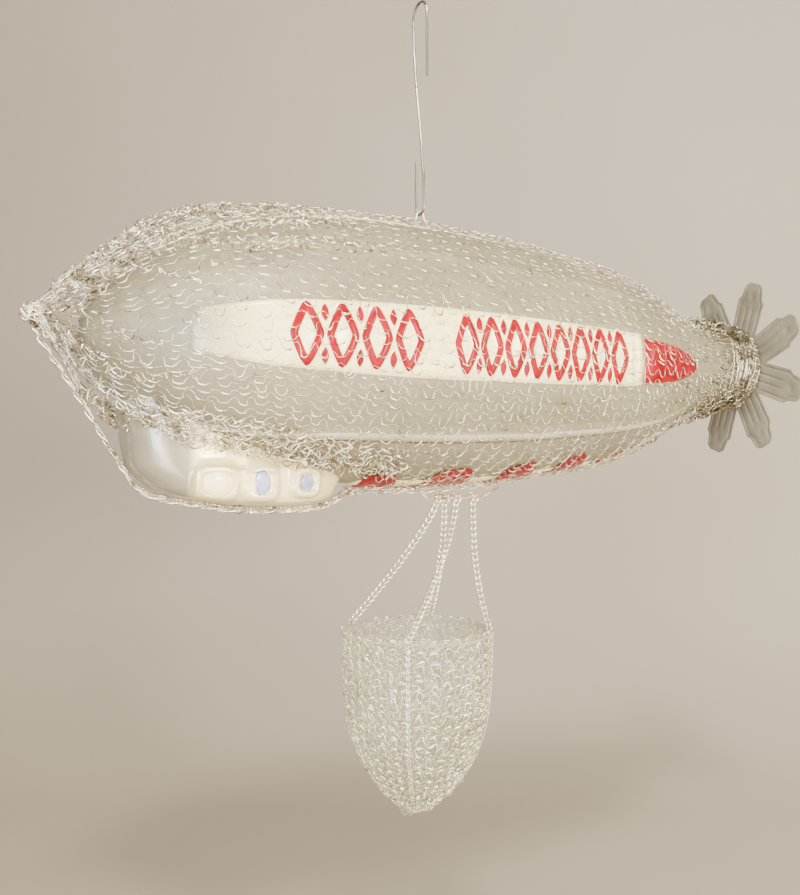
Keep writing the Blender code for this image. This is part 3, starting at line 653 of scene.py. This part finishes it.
def hull_point(x, degrees, out=0.0):
    """A point on the hull's skin, or a distance out from it."""
    _, radius, rise = read_table(HULL_STATIONS, x)
    uneven = 0.00008 * drift(5, x * 100, degrees / 20, 4.0)
    swell = (ridge_swell(x, degrees) + uneven) * np.minimum(1.0, radius / FULL_RADIUS)
    return around(x, radius + swell + out, degrees, rise)


def build_hull():
    """The blown envelope with its four ridges, its lip turned in at the neck."""
    share = np.linspace(0, 1, 130)
    neck_x, neck, _ = HULL_STATIONS[-1]
    x = HULL_TIP_X + (neck_x - HULL_TIP_X) * share**1.5
    degrees = np.linspace(0.0, 360.0, 180, endpoint=False)
    skin = hull_point(x[:, None], degrees[None])
    lip = [around(x, neck - NECK_WALL, degrees) for x in (neck_x, neck_x - LIP_DEPTH)]
    points = np.concatenate([skin, lip])
    hull = add_piece(grid_mesh("hull_glass", points, wrap=True), "glass")
    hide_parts("hull")


def ridge_strip(x, half, low, high, rise):
    """A strip along a ridge, between two angles off it."""
    t = np.linspace(0, 1, 9)[None]
    bulge = rise * np.sqrt(1 - 0.96 * (2 * t - 1) ** 2)
    return hull_point(x[:, None], half[:, None] + low + (high - low) * t, bulge)


def build_ridges():
    """A swelling along each of the two lower ridges, painted paler as a sheen, and a dark strip under it
    as the crease's painted shade.
    """
    x = np.linspace(*RIDGE_STRIP_X, 120)
    half = read_table(RIDGE_STATIONS, x)[1]
    for name, look, low, high, rise in RIDGE_STRIPS:
        port = ridge_strip(x, -half, low, high, rise)
        starboard = ridge_strip(x, 180 + half, -high, -low, rise)
        strips = add_piece(grid_mesh(name, port, starboard), look)


def plateau(t, edge):
    """1 in the middle and rounded down to 0 at t of -1 and 1."""
    rim = np.clip((1 - np.abs(t)) / edge, 0, 1)
    return np.sqrt(1 - (1 - rim) ** 2)


def band_grid(centre, front, half):
    """The smooth raised band of one quarter."""
    u, v = np.linspace(-1, 1, 90)[:, None], np.linspace(-1, 1, 25)[None]
    middle, reach = (front + BAND_BACK_X) / 2, (BAND_BACK_X - front) / 2
    x = middle + reach * u
    taper = 1 - 0.12 * ease(-0.045, -0.062, x)
    height = plateau(u, 0.03) * plateau(v, 0.16) * (BAND_RISE + SUNK) - SUNK
    return hull_point(x, centre + half * taper * v, height)


def rib_grid(centre, x, half):
    """One of the two upright ribs behind the ornaments."""
    t, v = np.linspace(-1, 1, 7)[:, None], np.linspace(-1, 1, 21)[None]
    height = BAND_RISE + 0.0004 * np.sqrt(1 - 0.98 * t**2) * plateau(v, 0.12) - SUNK
    return hull_point(x + RIB_HALF_X * t, centre + 0.92 * half * v, height)


def patch_grid(centre, half):
    """The red patch: square in front, rounded behind, with a rib along its front."""
    u, v = np.linspace(0, 1, 44)[:, None], np.linspace(-1, 1, 23)[None]
    front, back = PATCH_X
    x = front + (back - front) * u
    wide = np.sqrt(np.maximum(1 - np.clip((u - 0.3) / 0.7, 0, 1) ** 2.2, 0.0004))
    rib = 0.0003 * np.exp(-(((x - front - 0.0022) / 0.0009) ** 2))
    ends = plateau(2 * u - 1, 0.12)
    height = (PATCH_RISE + rib) * plateau(v, 0.2) * ends - SUNK
    return hull_point(x, centre + half * wide * v, height)


def ribbon(centre, path, width, height):
    """A half-round raised stroke: path rows are position along X and distance round."""
    width = np.broadcast_to(width, len(path))
    ahead = unit(np.gradient(path, axis=0))
    side = pack(-ahead[:, 1], ahead[:, 0])
    t = np.linspace(-1, 1, 9)
    flat = path[:, None] + side[:, None] * (t[:, None] * width[:, None, None] / 2)
    radius = read_table(HULL_STATIONS, flat[..., 0])[1]
    degrees = centre + np.degrees(flat[..., 1] / radius)
    rise = BAND_RISE - 0.00012 + height * np.sqrt(1 - 0.96 * t**2)
    return hull_point(flat[..., 0], degrees, rise)


def lozenge_path(x, half_length, half_height):
    """A closed, pointed lozenge."""
    along, up = oval(np.linspace(0, math.tau, 65), 1.75)
    return pack(x + half_length * along, half_height * up)


def closed_ribbon(centre, path, width, height):
    """A ribbon whose two ends meet."""
    wrapped = np.concatenate([path[-3:-1], path, path[1:3]])
    return ribbon(centre, wrapped, width, height)[2:-2]


def motif_grids(centre, tall, swell, height):
    """Rows of pointed lozenges, tall either way, with short upright leaves between them."""
    t = np.linspace(-1, 1, 15)
    width = 0.0001 + (0.0017 + swell) * (1 - t**2)
    grids = []
    for start, end, count in MOTIF_RUNS:
        pitch = (end - start) / count
        for k in range(count):
            x = start + pitch * (k + 0.5)
            path = lozenge_path(x, 0.36 * pitch, tall - 0.0006)
            grids.append(closed_ribbon(centre, path, 0.0018 + swell, height))
            if k == count - 1:
                continue
            for middle in (-0.68 * tall, 0.68 * tall):
                up = middle + (0.28 * tall + swell / 2) * t
                path = pack(x + pitch / 2, up)
                grids.append(ribbon(centre, path, width, height))
    return grids


def keel_grids(centre):
    """Four long leaf-shaped strokes along the keel."""
    t = np.linspace(-1, 1, 31)
    width = 0.0003 + KEEL_BAR_WIDTH * (1 - t**4) ** 0.5
    grids = []
    for front, back in KEEL_BARS:
        path = pack((front + back) / 2 + (back - front) / 2 * t, 0.0012 * t)
        grids.append(ribbon(centre, path, width, KEEL_BAR_RISE))
    return grids


def build_quarters():
    """Each quarter's band and ribs, its red ornaments and its red patch."""
    for name, centre, front, band_half, patch_half, tall, raised in QUARTERS:
        grids = [band_grid(centre, front, band_half)]
        grids += [rib_grid(centre, x, band_half) for x in RIB_XS]
        if name == "keel":
            strokes = keel_grids(centre)
        else:
            grids += motif_grids(centre, tall, 0.0008, 0.6 * raised)
            strokes = motif_grids(centre, tall, 0.0, raised)
        band = add_piece(grid_mesh(f"band_{name}", *grids), "band")
        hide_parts(f"panel_{name}")

        motif = add_piece(grid_mesh(f"ornament_{name}", *strokes), "red")

        grid = patch_grid(centre, patch_half)
        patch = add_piece(grid_mesh(f"patch_{name}_paint", grid), "red")
        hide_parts(f"patch_{name}")


# The gondola

def window_boss(x, drop):
    """How far the raised frame round each window lifts the gondola's side."""
    total = np.zeros(np.broadcast(x, drop).shape)
    for _, middle, half_length, half_height in WINDOWS:
        across = (x - middle) / (half_length + WINDOW_FRAME[0])
        up = (drop - WINDOW_DROP) / (half_height + WINDOW_FRAME[1])
        far = (np.abs(across) ** 3.5 + np.abs(up) ** 3.5) ** (1 / 3.5)
        total = np.maximum(total, 1 - ease(0.88, 1.08, far) - 0.6 * (1 - ease(0.50, 0.66, far)))
    return WINDOW_BOSS * total


def gondola_lift(x, drop):
    """How much the lower levels rise towards the nose."""
    start, end = GONDOLA_RAKE_X
    along = np.clip((x - start) / (end - start), 0, 1)
    straight, bottom = GONDOLA_LEVELS[1][0], GONDOLA_LEVELS[-1][0]
    low = np.maximum((drop - straight) / (bottom - straight), 0.0)
    return GONDOLA_RAKE * low * along**2


def build_gondola():
    """The cabin blown under the nose, with a frame swelling round each window."""
    top, straight, bottom = (GONDOLA_LEVELS[k][0] for k in (0, 1, -1))
    upper, lower = np.linspace(top, straight, 10), np.linspace(straight + 0.0007, bottom, 34)
    drops = np.concatenate([upper, lower])
    _, front, back, half = read_table(GONDOLA_LEVELS, drops)[..., None]
    a = np.linspace(0, math.tau, 200, endpoint=False)
    along, side = oval(a, 2.0 / GONDOLA_SQUARENESS)
    x = (front + back) / 2 + (back - front) / 2 * along
    drop = drops[:, None]
    lifted = drop - gondola_lift(x, drop)
    y = (half + window_boss(x, lifted)) * side
    sides = pack(x, y, AXIS_Z - lifted)
    rings = [sides]
    last = sides[-1]
    middle = last.mean(axis=0)
    for inset, fall in GONDOLA_BOTTOM:
        ring = middle + (last - middle) * inset
        ring[:, 2] -= fall
        rings.append(ring[None])
    cabin = add_piece(grid_mesh("cabin_glass", np.concatenate(rings), wrap=True), "gondola")
    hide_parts("gondola")


def gondola_side(x, drop):
    """Half width of the gondola's side."""
    _, front, back, half = read_table(GONDOLA_LEVELS, drop)
    u = (x - (front + back) / 2) / ((back - front) / 2)
    return half * (1 - np.abs(u) ** GONDOLA_SQUARENESS) ** (1 / GONDOLA_SQUARENESS)


def lens_grid(sign, middle, half_length, half_height, squareness, rise):
    """A domed window pane on the gondola's side."""
    share = np.linspace(0.02, 1.0, 12)[:, None]
    a = np.linspace(0, math.tau, 49)[None]
    along, down = oval(a, 2.0 / squareness)
    x = middle + half_length * share * along
    drop = WINDOW_DROP + half_height * share * down
    out = gondola_side(x, drop + gondola_lift(x, drop)) + window_boss(x, drop)
    lift = rise * np.sqrt(np.maximum(1 - share**4, 0)) - SUNK
    return pack(x, sign * (out + lift), AXIS_Z - drop)


def outline_and_glint(place, grid, dark, pale):
    """A dark line on a pane's rim and a painted highlight, a pale glint round it, along the points named.
    """
    edge = grid[-1]
    ring = add_piece(wires(f"outline_{place}", edge[None, slice(*dark)], 0.00024), "slate")
    arc = edge[slice(*pale)]
    arc = arc + (arc - grid[0].mean(axis=0)) * 0.12
    # painted highlight: a pale chip of pearl lacquer standing in for a glint
    chip = add_piece(wires(f"highlight_{place}", arc[None], 0.00042, 6), "pearl")


def build_windows():
    """A pane in each frame: pearl in front, and lilac with a dark outline and a painted glint in the other
    two.
    """
    for side, sign in (("port", -1), ("starboard", 1)):
        for name, x, half_length, half_height in WINDOWS:
            lilac = name in WINDOW_OUTLINE_GLINT
            squareness, rise = (2.0, 0.0006) if lilac else (2.6, 0.0013)
            grid = lens_grid(sign, x, half_length, half_height, squareness, rise)
            pane = add_piece(grid_mesh(f"pane_{side}_{name}", grid), "lilac" if lilac else "pearl")
            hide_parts(f"window_{side}_{name}")
            if lilac:
                outline_and_glint(f"{side}_{name}", grid, *WINDOW_OUTLINE_GLINT[name])


# The nets

def hull_net_point(u, v, lift, course):
    """Net coordinates on the hull: u along the ship in stitches, v round it in courses."""
    first, last = NET_STATIONS[0][0], NET_STATIONS[-1][0]
    x = first + (last - first) * np.clip(u / NET_STITCHES, 0, 1)
    _, radius, rise = read_table(NET_STATIONS, x)
    middle = (360.0 * course / NET_COURSES + 180.0) % 360.0 - 180.0
    swing = (v - course) * np.where(middle < 0, -1.0, 1.0) * np.clip(FULL_RADIUS / radius, 1.0, 3.5)
    off = (360.0 * (course + swing) / NET_COURSES + 180.0) % 360.0 - 180.0
    gathered = np.abs(middle) < CHIN_HALF
    share = hump(WINDOW_START, WINDOW_END, x)
    far = np.abs(off)
    seat = read_table(SEAT_STATIONS, x)[1]
    push = (seat - CHIN_HALF) * (CROWD_ANGLE - far) / (CROWD_ANGLE - CHIN_HALF)
    spread = far + np.where(gathered | (far > CROWD_ANGLE), 0.0, share * push)
    scale = np.minimum(1.0, radius / 0.012)
    net = around(x, radius + lift * NET_DEPTH * scale, 270.0 + np.sign(off) * spread, rise)
    drop = read_table(CHIN_ROUTE, x)[1]
    twist = np.radians(middle * 12.0 + 60.0 * lift) + x * 900.0
    thick = 0.0006 + 0.0006 * lift
    strand = pack(x, thick * np.sin(twist), AXIS_Z - drop + thick * np.cos(twist))
    blend = (share * gathered)[..., None]
    return net * (1 - blend) + strand * blend


def net_line(x, degrees, out=0.0):
    """Points on the net at angles that may vary with x."""
    _, radius, rise = read_table(NET_STATIONS, x)
    return around(x, radius + out, degrees, rise)


def crumpled_net():
    """Wires crumpled over the crown's front and crowded along the gondola's top edge."""
    crown = np.linspace(36.0, 128.0, 17)[:, None]
    end = -0.0280 + 0.0110 * np.sin(1.7 * crown)
    x = -0.0830 + (end + 0.0830) * np.linspace(0, 1, 420)[None]
    over = net_line(x, crown + 7 * drift(31, 40 * x, crown / 9, 1.2), -0.0004)
    x = np.linspace(-0.0715, -0.0140, 420)[None]
    seat = read_table(SEAT_STATIONS, x)[1]
    step = np.array([-2.0, 0.0, 2.0, 4.5, 7.5, 11.0, 15.0])[:, None]
    sides = [net_line(x, 270.0 + sign * (seat + step), -0.0004) for sign in (-1, 1)]
    x = np.linspace(-0.0862, -0.0600, 420)[None]
    spread = np.linspace(0.0, 360.0, 14, endpoint=False)[:, None]
    nose = net_line(x, spread + 18 * drift(32, 60 * x, spread / 30, 1.5), -0.0002)
    paths, plump = curls(np.concatenate([over, *sides]), 27, 0.0011, 33)
    nose_paths, nose_plump = curls(nose, 15, 0.0010, 37)
    return np.concatenate([paths, nose_paths]), np.concatenate([plump, nose_plump])


def build_hull_net():
    """The knitted net, in two pieces, its crumpled stretches and the strand under the gondola."""
    low = int(NET_COURSES * CROWD_ANGLE / 360.0)
    groups = (
        ("net_keel", np.arange(-low, low + 1), 11),
        ("net_crown", np.arange(low + 1, NET_COURSES - low), 12),
    )
    for name, courses, seed in groups:
        paths, plump = knit(courses, NET_STITCHES, hull_net_point, seed, ends=(5.0, 12.0))
        net = add_piece(wires(name, paths, NET_WIRE * plump, 3), "wire")
        if name == "net_crown":
            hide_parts("hull_net")

    paths, plump = crumpled_net()
    crumple = add_piece(wires("net_crumple", paths, 1.1 * NET_WIRE * plump, 3), "bright_wire")

    x = np.linspace(CHIN_ROUTE[1][0], -0.0170, 90)
    route = pack(x, 0.0, AXIS_Z - read_table(CHIN_ROUTE, x)[1])
    strands, plump = chain(route, STRAND_BROAD, STRAND_PITCH)
    strand = add_piece(wires("chin_chain", strands, 0.00031 * plump), "wire")
    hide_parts("chin_strand")


def build_keel_strand():
    """The net's gathered edge along the keel, from the gondola back to the stays."""
    x = np.linspace(-0.0185, 0.0200, 60)
    _, radius, rise = read_table(NET_STATIONS, x)
    low = radius - rise
    sag = 0.0004 + 0.0003 * drift(15, 300 * x, 0, 2.0)
    route = pack(x, 0.0008 * drift(16, 300 * x, 0, 2.0), AXIS_Z - low - sag)
    strands, plump = chain(route, STRAND_BROAD, STRAND_PITCH)
    strand = add_piece(wires("keel_chain", strands, 0.00028 * plump), "wire")


def basket_point(u, v, lift, course):
    """Net coordinates on the basket: u round it in stitches, v down it in courses."""
    share = np.clip(v / BASKET_COURSES, -0.02, 1.02)
    drop = share * BASKET_STATIONS[-1][0]
    radius = read_table(BASKET_STATIONS, np.maximum(drop, 0.0))[1] + NET_DEPTH * lift
    return basket_ring(math.tau * u / BASKET_STITCHES, radius, RIM_Z - drop)


def chain(path, wide, pitch=CHAIN_PITCH, half=CHAIN_HALF):
    """Two strands of plump slanting stitches along a path; wide is its broad direction."""
    step = np.linalg.norm(np.diff(path, axis=0), axis=1)
    reach = np.concatenate([[0.0], np.cumsum(step)])
    count = int(reach[-1] / pitch)
    turn = np.linspace(0, math.tau * count, count * 10 + 1)
    strands = []
    for sign in (-1.0, 1.0):
        s = reach[-1] * turn / turn[-1] + 0.16 * pitch * np.sin(turn)
        at = pack(*(np.interp(s, reach, column) for column in path.T))
        ahead = unit(np.gradient(at, axis=0) + 1e-9)
        broad = unit(wide - ahead * np.sum(ahead * wide, -1, keepdims=True))
        deep = np.cross(ahead, broad)
        across = sign * half * (0.80 - 0.35 * np.sin(turn))
        strands.append(at + broad * across[:, None] + deep * (0.3 * half * np.sin(turn))[:, None])
    plump = 0.24 + 0.80 * (0.5 + 0.5 * np.cos(turn)) ** 2
    return np.stack(strands), np.stack([plump, plump])


def basket_ring(a, radius, z):
    """Points about the basket's axis."""
    return pack(BASKET_X + radius * np.cos(a), radius * np.sin(a), z)


def stay_path(x, azimuth, power):
    """A stay's route: once round the keel wire, then flaring down to the rim."""
    loop = 0.00115
    a = np.radians(np.linspace(-380.0, -90.0, 14))
    turn = pack(x, loop * np.cos(a), KEEL_WIRE_Z + loop * np.sin(a))
    foot = basket_ring(math.radians(azimuth), RIM_RADIUS, RIM_Z + 0.0008)
    u = np.linspace(0, 1, 40)[1:, None]
    top = turn[-1]
    run = top + (foot - top) * np.concatenate([u**power, u**power, u], -1)
    return np.concatenate([turn, run])


def build_stays():
    """The four crocheted stays, flat to the viewer, and the seams down the basket."""
    facing = math.radians(CAMERA_TURN)
    flat = pack(math.cos(facing), math.sin(facing), 0.0)
    for name, x, azimuth, power in STAYS:
        a = math.radians(azimuth)
        wide = pack(-math.sin(a), math.cos(a), 0.0)
        strands, plump = chain(stay_path(x, azimuth, power), flat)
        stay = add_piece(wires(f"chain_{name}", strands, CHAIN_WIRE * plump, 6), "stay_wire", "basket")
        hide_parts(f"stay_{name}")

        drops = np.linspace(0.0, 0.0385, 60)
        radii = read_table(BASKET_STATIONS, drops)[1] + 0.0007
        rib = basket_ring(a, radii, RIM_Z - drops)
        strands, plump = chain(rib, wide, half=0.5 * CHAIN_HALF)
        data = wires(f"seam_{name}", strands, 0.36 * CHAIN_WIRE * plump)
        seam = add_piece(data, "basket_wire", "basket")
        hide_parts(f"basket_rib_{name}")


def tangle(centre, reach, turns, seed, count=1, points=420):
    """A ball of looping wire."""
    rng = np.random.default_rng(seed)
    paths = []
    for _ in range(count):
        t = np.linspace(0, math.tau, points)
        start = rng.uniform(0.0, math.tau, 6)
        swing = [
            np.sin((turns + k) * t + start[k]) * (0.7 + 0.3 * np.sin(beat * t + start[3 + k]))
            for k, beat in enumerate((3, 2, 5))
        ]
        swing = pack(*swing)
        swing = swing / np.maximum(1.0, np.linalg.norm(swing, axis=-1, keepdims=True))
        paths.append(np.asarray(centre) + swing * np.asarray(reach))
    return np.stack(paths)


def build_basket():
    """The dense knitted basket in two layers, with its fuzz, its rim and its end knot."""
    courses = np.arange(BASKET_COURSES + 1)
    loose = {"tall": 0.55, "kink": 0.07, "bead": 3.0}
    layers = [knit(courses, BASKET_STITCHES, basket_point, seed, **loose) for seed in (41, 47)]
    paths, plump = (np.concatenate(part) for part in zip(*layers))
    net = add_piece(wires("basket_mesh", paths, BASKET_WIRE * plump, 3), "basket_wire", "basket")
    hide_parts("basket_net")

    rows = np.linspace(0, 1, 40)[:, None]
    round_it = np.linspace(0.0, BASKET_STITCHES, 280)[None]
    slant = 1.2 * drift(44, round_it, 8 * rows, 9.0)
    base = basket_point(round_it, BASKET_COURSES * rows + slant, -0.5, 0.0)
    paths, plump = curls(base, 34, 0.0011, 45)
    fuzz = add_piece(wires("basket_fuzz", paths, 0.00007 * plump, 3), "fine_wire", "basket")

    turn = np.linspace(0, math.tau, 360)
    rope = 0.00042
    strands = []
    for k in range(3):
        twist = 34 * turn + math.tau * k / 3
        radius = RIM_RADIUS + rope * np.cos(twist) + 0.0002 * drift(70 + k, turn * 6, 0, 5.0)
        z = RIM_Z + rope * np.sin(twist) + 0.0003 * drift(80 + k, turn * 6, 0, 6.0)
        strands.append(basket_ring(turn, radius, z))
    rim = add_piece(wires("rim_twist", strands, 0.00010), "fine_wire", "basket")
    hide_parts("basket_rim")

    low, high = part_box("basket_knot")
    paths = tangle((low + high) / 2, (high - low) / 2, 7, 23, count=2)
    knot = add_piece(wires("end_tangle", paths, 0.00016), "basket_wire", "basket")
    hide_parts("basket_knot")


def build_nose():
    """The tangle that gathers the net at the nose, with a darker curl under it."""
    low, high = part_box("nose_knot")
    middle = (low + high) / 2
    paths = tangle(middle, (high - low) / 2 * 1.15, 6, 7, count=3)
    curl = tangle(middle + Vector((0.001, 0.0, -0.001)), (0.0022, 0.0018, 0.0024), 2, 9)
    knot = add_piece(wires("nose_tangle", paths, 0.00018), "wire")
    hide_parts("nose_knot")
    dark = add_piece(wires("nose_curl", curl, 0.00024), "dull_wire")


def build_tail():
    """The net crumpled round the neck and the loose turns of wire that bind it."""
    spread = np.linspace(0.0, 360.0, 36, endpoint=False)[:, None]
    start = 0.0790 + 0.0075 * drift(60, 0.0, spread / 9, 2.0)
    x = start + (0.0999 - start) * np.linspace(0, 1, 110)[None]
    slant = 14.0 * drift(61, 60 * x, spread / 40, 1.5)
    flare = 0.0002 + 0.0014 * hump(FLARE_START, FLARE_END, x)
    paths, plump = curls(net_line(x, spread + slant, flare), 5.5, 0.0010, 62)
    # tail_wire is darker all over: painted shade where the net gathers round the neck
    crumple = add_piece(wires("neck_crumple", paths, 1.1 * NET_WIRE * plump, 3), "tail_wire")

    turns = 7
    turn = np.linspace(0, math.tau * turns, turns * 60)
    share = turn / turn[-1]
    strands = []
    for k in range(2):
        lean = 0.0016 * np.sin(turn + 2.0 * k)
        x = 0.0890 + 0.0104 * share + lean + 0.0011 * drift(90 + k, turn, 0, 7.0)
        x = np.clip(x, 0.0845, 0.1002)
        flare = 0.0003 + 0.0013 * hump(FLARE_START, FLARE_END, x)
        radius = read_table(NET_STATIONS, x)[1] + flare + 0.0007 * drift(95 + k, turn, 0, 4.0)
        strands.append(around(x, radius, np.degrees(turn) + 180 * k))
    binding = add_piece(wires("binding_wire", strands, 0.00018), "tail_wire")
    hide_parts("tail_binding")


# The tail star

def blade_reach(turn):
    """The star's outline: distance from the centre at angles off a blade's middle."""
    corners = [(math.hypot(*p), math.atan2(p[1], p[0])) for p in reversed(BLADE_OUTLINE)]
    table = [(BLADE_OUTLINE[-1][0], 0.0), *corners, (STAR_NOTCH, HALF_STEP)]
    result = np.zeros_like(turn)
    for (r0, a0), (r1, a1) in zip(table[:-1], table[1:]):
        x0, y0, x1, y1 = r0 * math.cos(a0), r0 * math.sin(a0), r1 * math.cos(a1), r1 * math.sin(a1)
        cross = x0 * y1 - y0 * x1
        reach = cross / (np.cos(turn) * (y1 - y0) - np.sin(turn) * (x1 - x0))
        result = np.where((turn >= a0 - 1e-9) & (turn <= a1 + 1e-9), reach, result)
    return result


def emboss(along, across, edge):
    """Pressed lines along a blade's edges and middle, and a dot near its end."""
    border = np.exp(-(((edge - np.abs(across) - 0.0010) / 0.00028) ** 2)) * ease(0.009, 0.011, along)
    middle = np.exp(-(((np.abs(across) - 0.0011) / 0.0003) ** 2))
    middle = middle * hump((0.006, 0.009), (0.0172, 0.0180), along)
    dot = np.exp(-(((along - 0.0205) ** 2 + across**2) / 0.0007**2))
    return STAR_LINE * np.maximum(np.maximum(border, middle), dot)


def build_star():
    """The pressed star, embossed through its whole thickness."""
    corners = sorted(math.atan2(w, a) for a, w in BLADE_OUTLINE)
    knots = [0.0, *corners, HALF_STEP]
    runs = [np.linspace(a, b, 5)[:-1] for a, b in zip(knots[:-1], knots[1:])]
    off = np.concatenate([*runs, [HALF_STEP]])
    off = np.concatenate([-off[::-1], off[1:-1]])
    turn = np.concatenate([off + 2 * HALF_STEP * k for k in range(STAR_BLADES)])
    off = np.tile(off, STAR_BLADES)
    reach = blade_reach(np.abs(off))
    share = np.linspace(0, 1, 46)[:, None]
    radius = STAR_BORE + (reach - STAR_BORE) * share
    along, across = radius * np.cos(off), radius * np.sin(off)
    notch = (STAR_NOTCH * math.cos(HALF_STEP), STAR_NOTCH * math.sin(HALF_STEP))
    edge = np.interp(along, *zip((0.0, 0.0), notch, *BLADE_OUTLINE))
    lift = emboss(along, across, edge)
    star_x = sum(corner.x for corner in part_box("propeller_star")) / 2
    spin = turn + math.radians(STAR_TURN)
    y = radius * np.cos(spin)
    z = AXIS_Z + radius * np.sin(spin)
    back, front = (pack(star_x + side * STAR_THICK / 2 + lift, y, z) for side in (1, -1))
    points = np.concatenate([back, front[::-1], back[:1]])
    star = add_piece(grid_mesh("star_foil", points, wrap=True), "foil", "propeller")
    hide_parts("propeller_star")


def dress_frame():
    """Better materials on the frame's nodes that stay."""
    looks = {
        "hook": "steel",
        "top_eye": "wire",
        "keel_wire": "wire",
        "tail_cap": "foil",
        "star_pin": "steel",
    }
    for name, look in looks.items():
        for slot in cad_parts[name].material_slots:
            slot.material = FINISHES[look]


# Stage, lights and camera

def build_stage():
    """A mottled floor that curves up into a wall, paler towards +X: painted light, as if lit more on that
    side.
    """
    made, tree, shader = finish("stage_paint", 0.9)
    total = tree.nodes.new("ShaderNodeMath")
    tree.links.new(share_along(tree, *FLOOR_FADE_X), total.inputs[0])
    tree.links.new(spread_noise(tree, -0.05, 0.05, 6.0, 4.0), total.inputs[1])
    colour_by(tree, shader, total.outputs["Value"], ((0.0, FLOOR_DARK), (1.0, FLOOR_LIGHT)))
    turn = math.radians(CAMERA_TURN)
    ahead = np.array([-math.sin(turn), math.cos(turn)])
    side = np.array([ahead[1], -ahead[0]])
    a = np.linspace(0.0, math.pi / 2, 24)
    reach = np.array([-FLOOR_REACH, *(FLOOR_END + FLOOR_BEND * np.sin(a)), FLOOR_END + FLOOR_BEND])
    height = np.array([0.0, *(FLOOR_BEND * (1 - np.cos(a))), FLOOR_REACH])
    across = np.array([-FLOOR_HALF_WIDTH, FLOOR_HALF_WIDTH])
    x, y = (ahead[k] * reach[:, None] + side[k] * across for k in (0, 1))
    data = grid_mesh("studio_sweep", pack(x, y, FLOOR_Z + height[:, None]))
    data.materials.append(made)
    sweep = new_object("studio_sweep", data)


def area_light(name, place, size, power, colour, target=MIDDLE):
    """A soft rectangular light: size is its width and height."""
    data = bpy.data.lights.new(name, "AREA")
    data.shape = "RECTANGLE"
    data.size, data.size_y = size
    data.energy = power
    data.color = colour
    lamp = new_object(name, data)
    lamp.location = place
    aim = Vector(target) - Vector(place)
    lamp.rotation_euler = aim.to_track_quat("-Z", "Y").to_euler()


def build_lights():
    for row in LIGHTS:
        area_light(*row)
    world = bpy.data.worlds.new("studio_air")
    world.use_nodes = True
    sky = world.node_tree.nodes["Background"]
    sky.inputs["Color"].default_value = (*AIR_COLOUR, 1.0)
    sky.inputs["Strength"].default_value = AIR_STRENGTH
    bpy.context.scene.world = world


def build_camera():
    data = bpy.data.cameras.new("photo_view")
    data.lens = CAMERA_LENS
    data.clip_start = 0.005
    camera = new_object("photo_view", data)
    camera.location = CAMERA_PLACE
    camera.rotation_euler = (math.pi / 2, 0.0, math.radians(CAMERA_TURN))
    bpy.context.scene.camera = camera


build_camera()
build_stage()
build_lights()
dress_frame()
build_hull()
build_ridges()
build_quarters()
build_gondola()
build_windows()
build_hull_net()
build_keel_strand()
build_stays()
build_basket()
build_nose()
build_tail()
build_star()
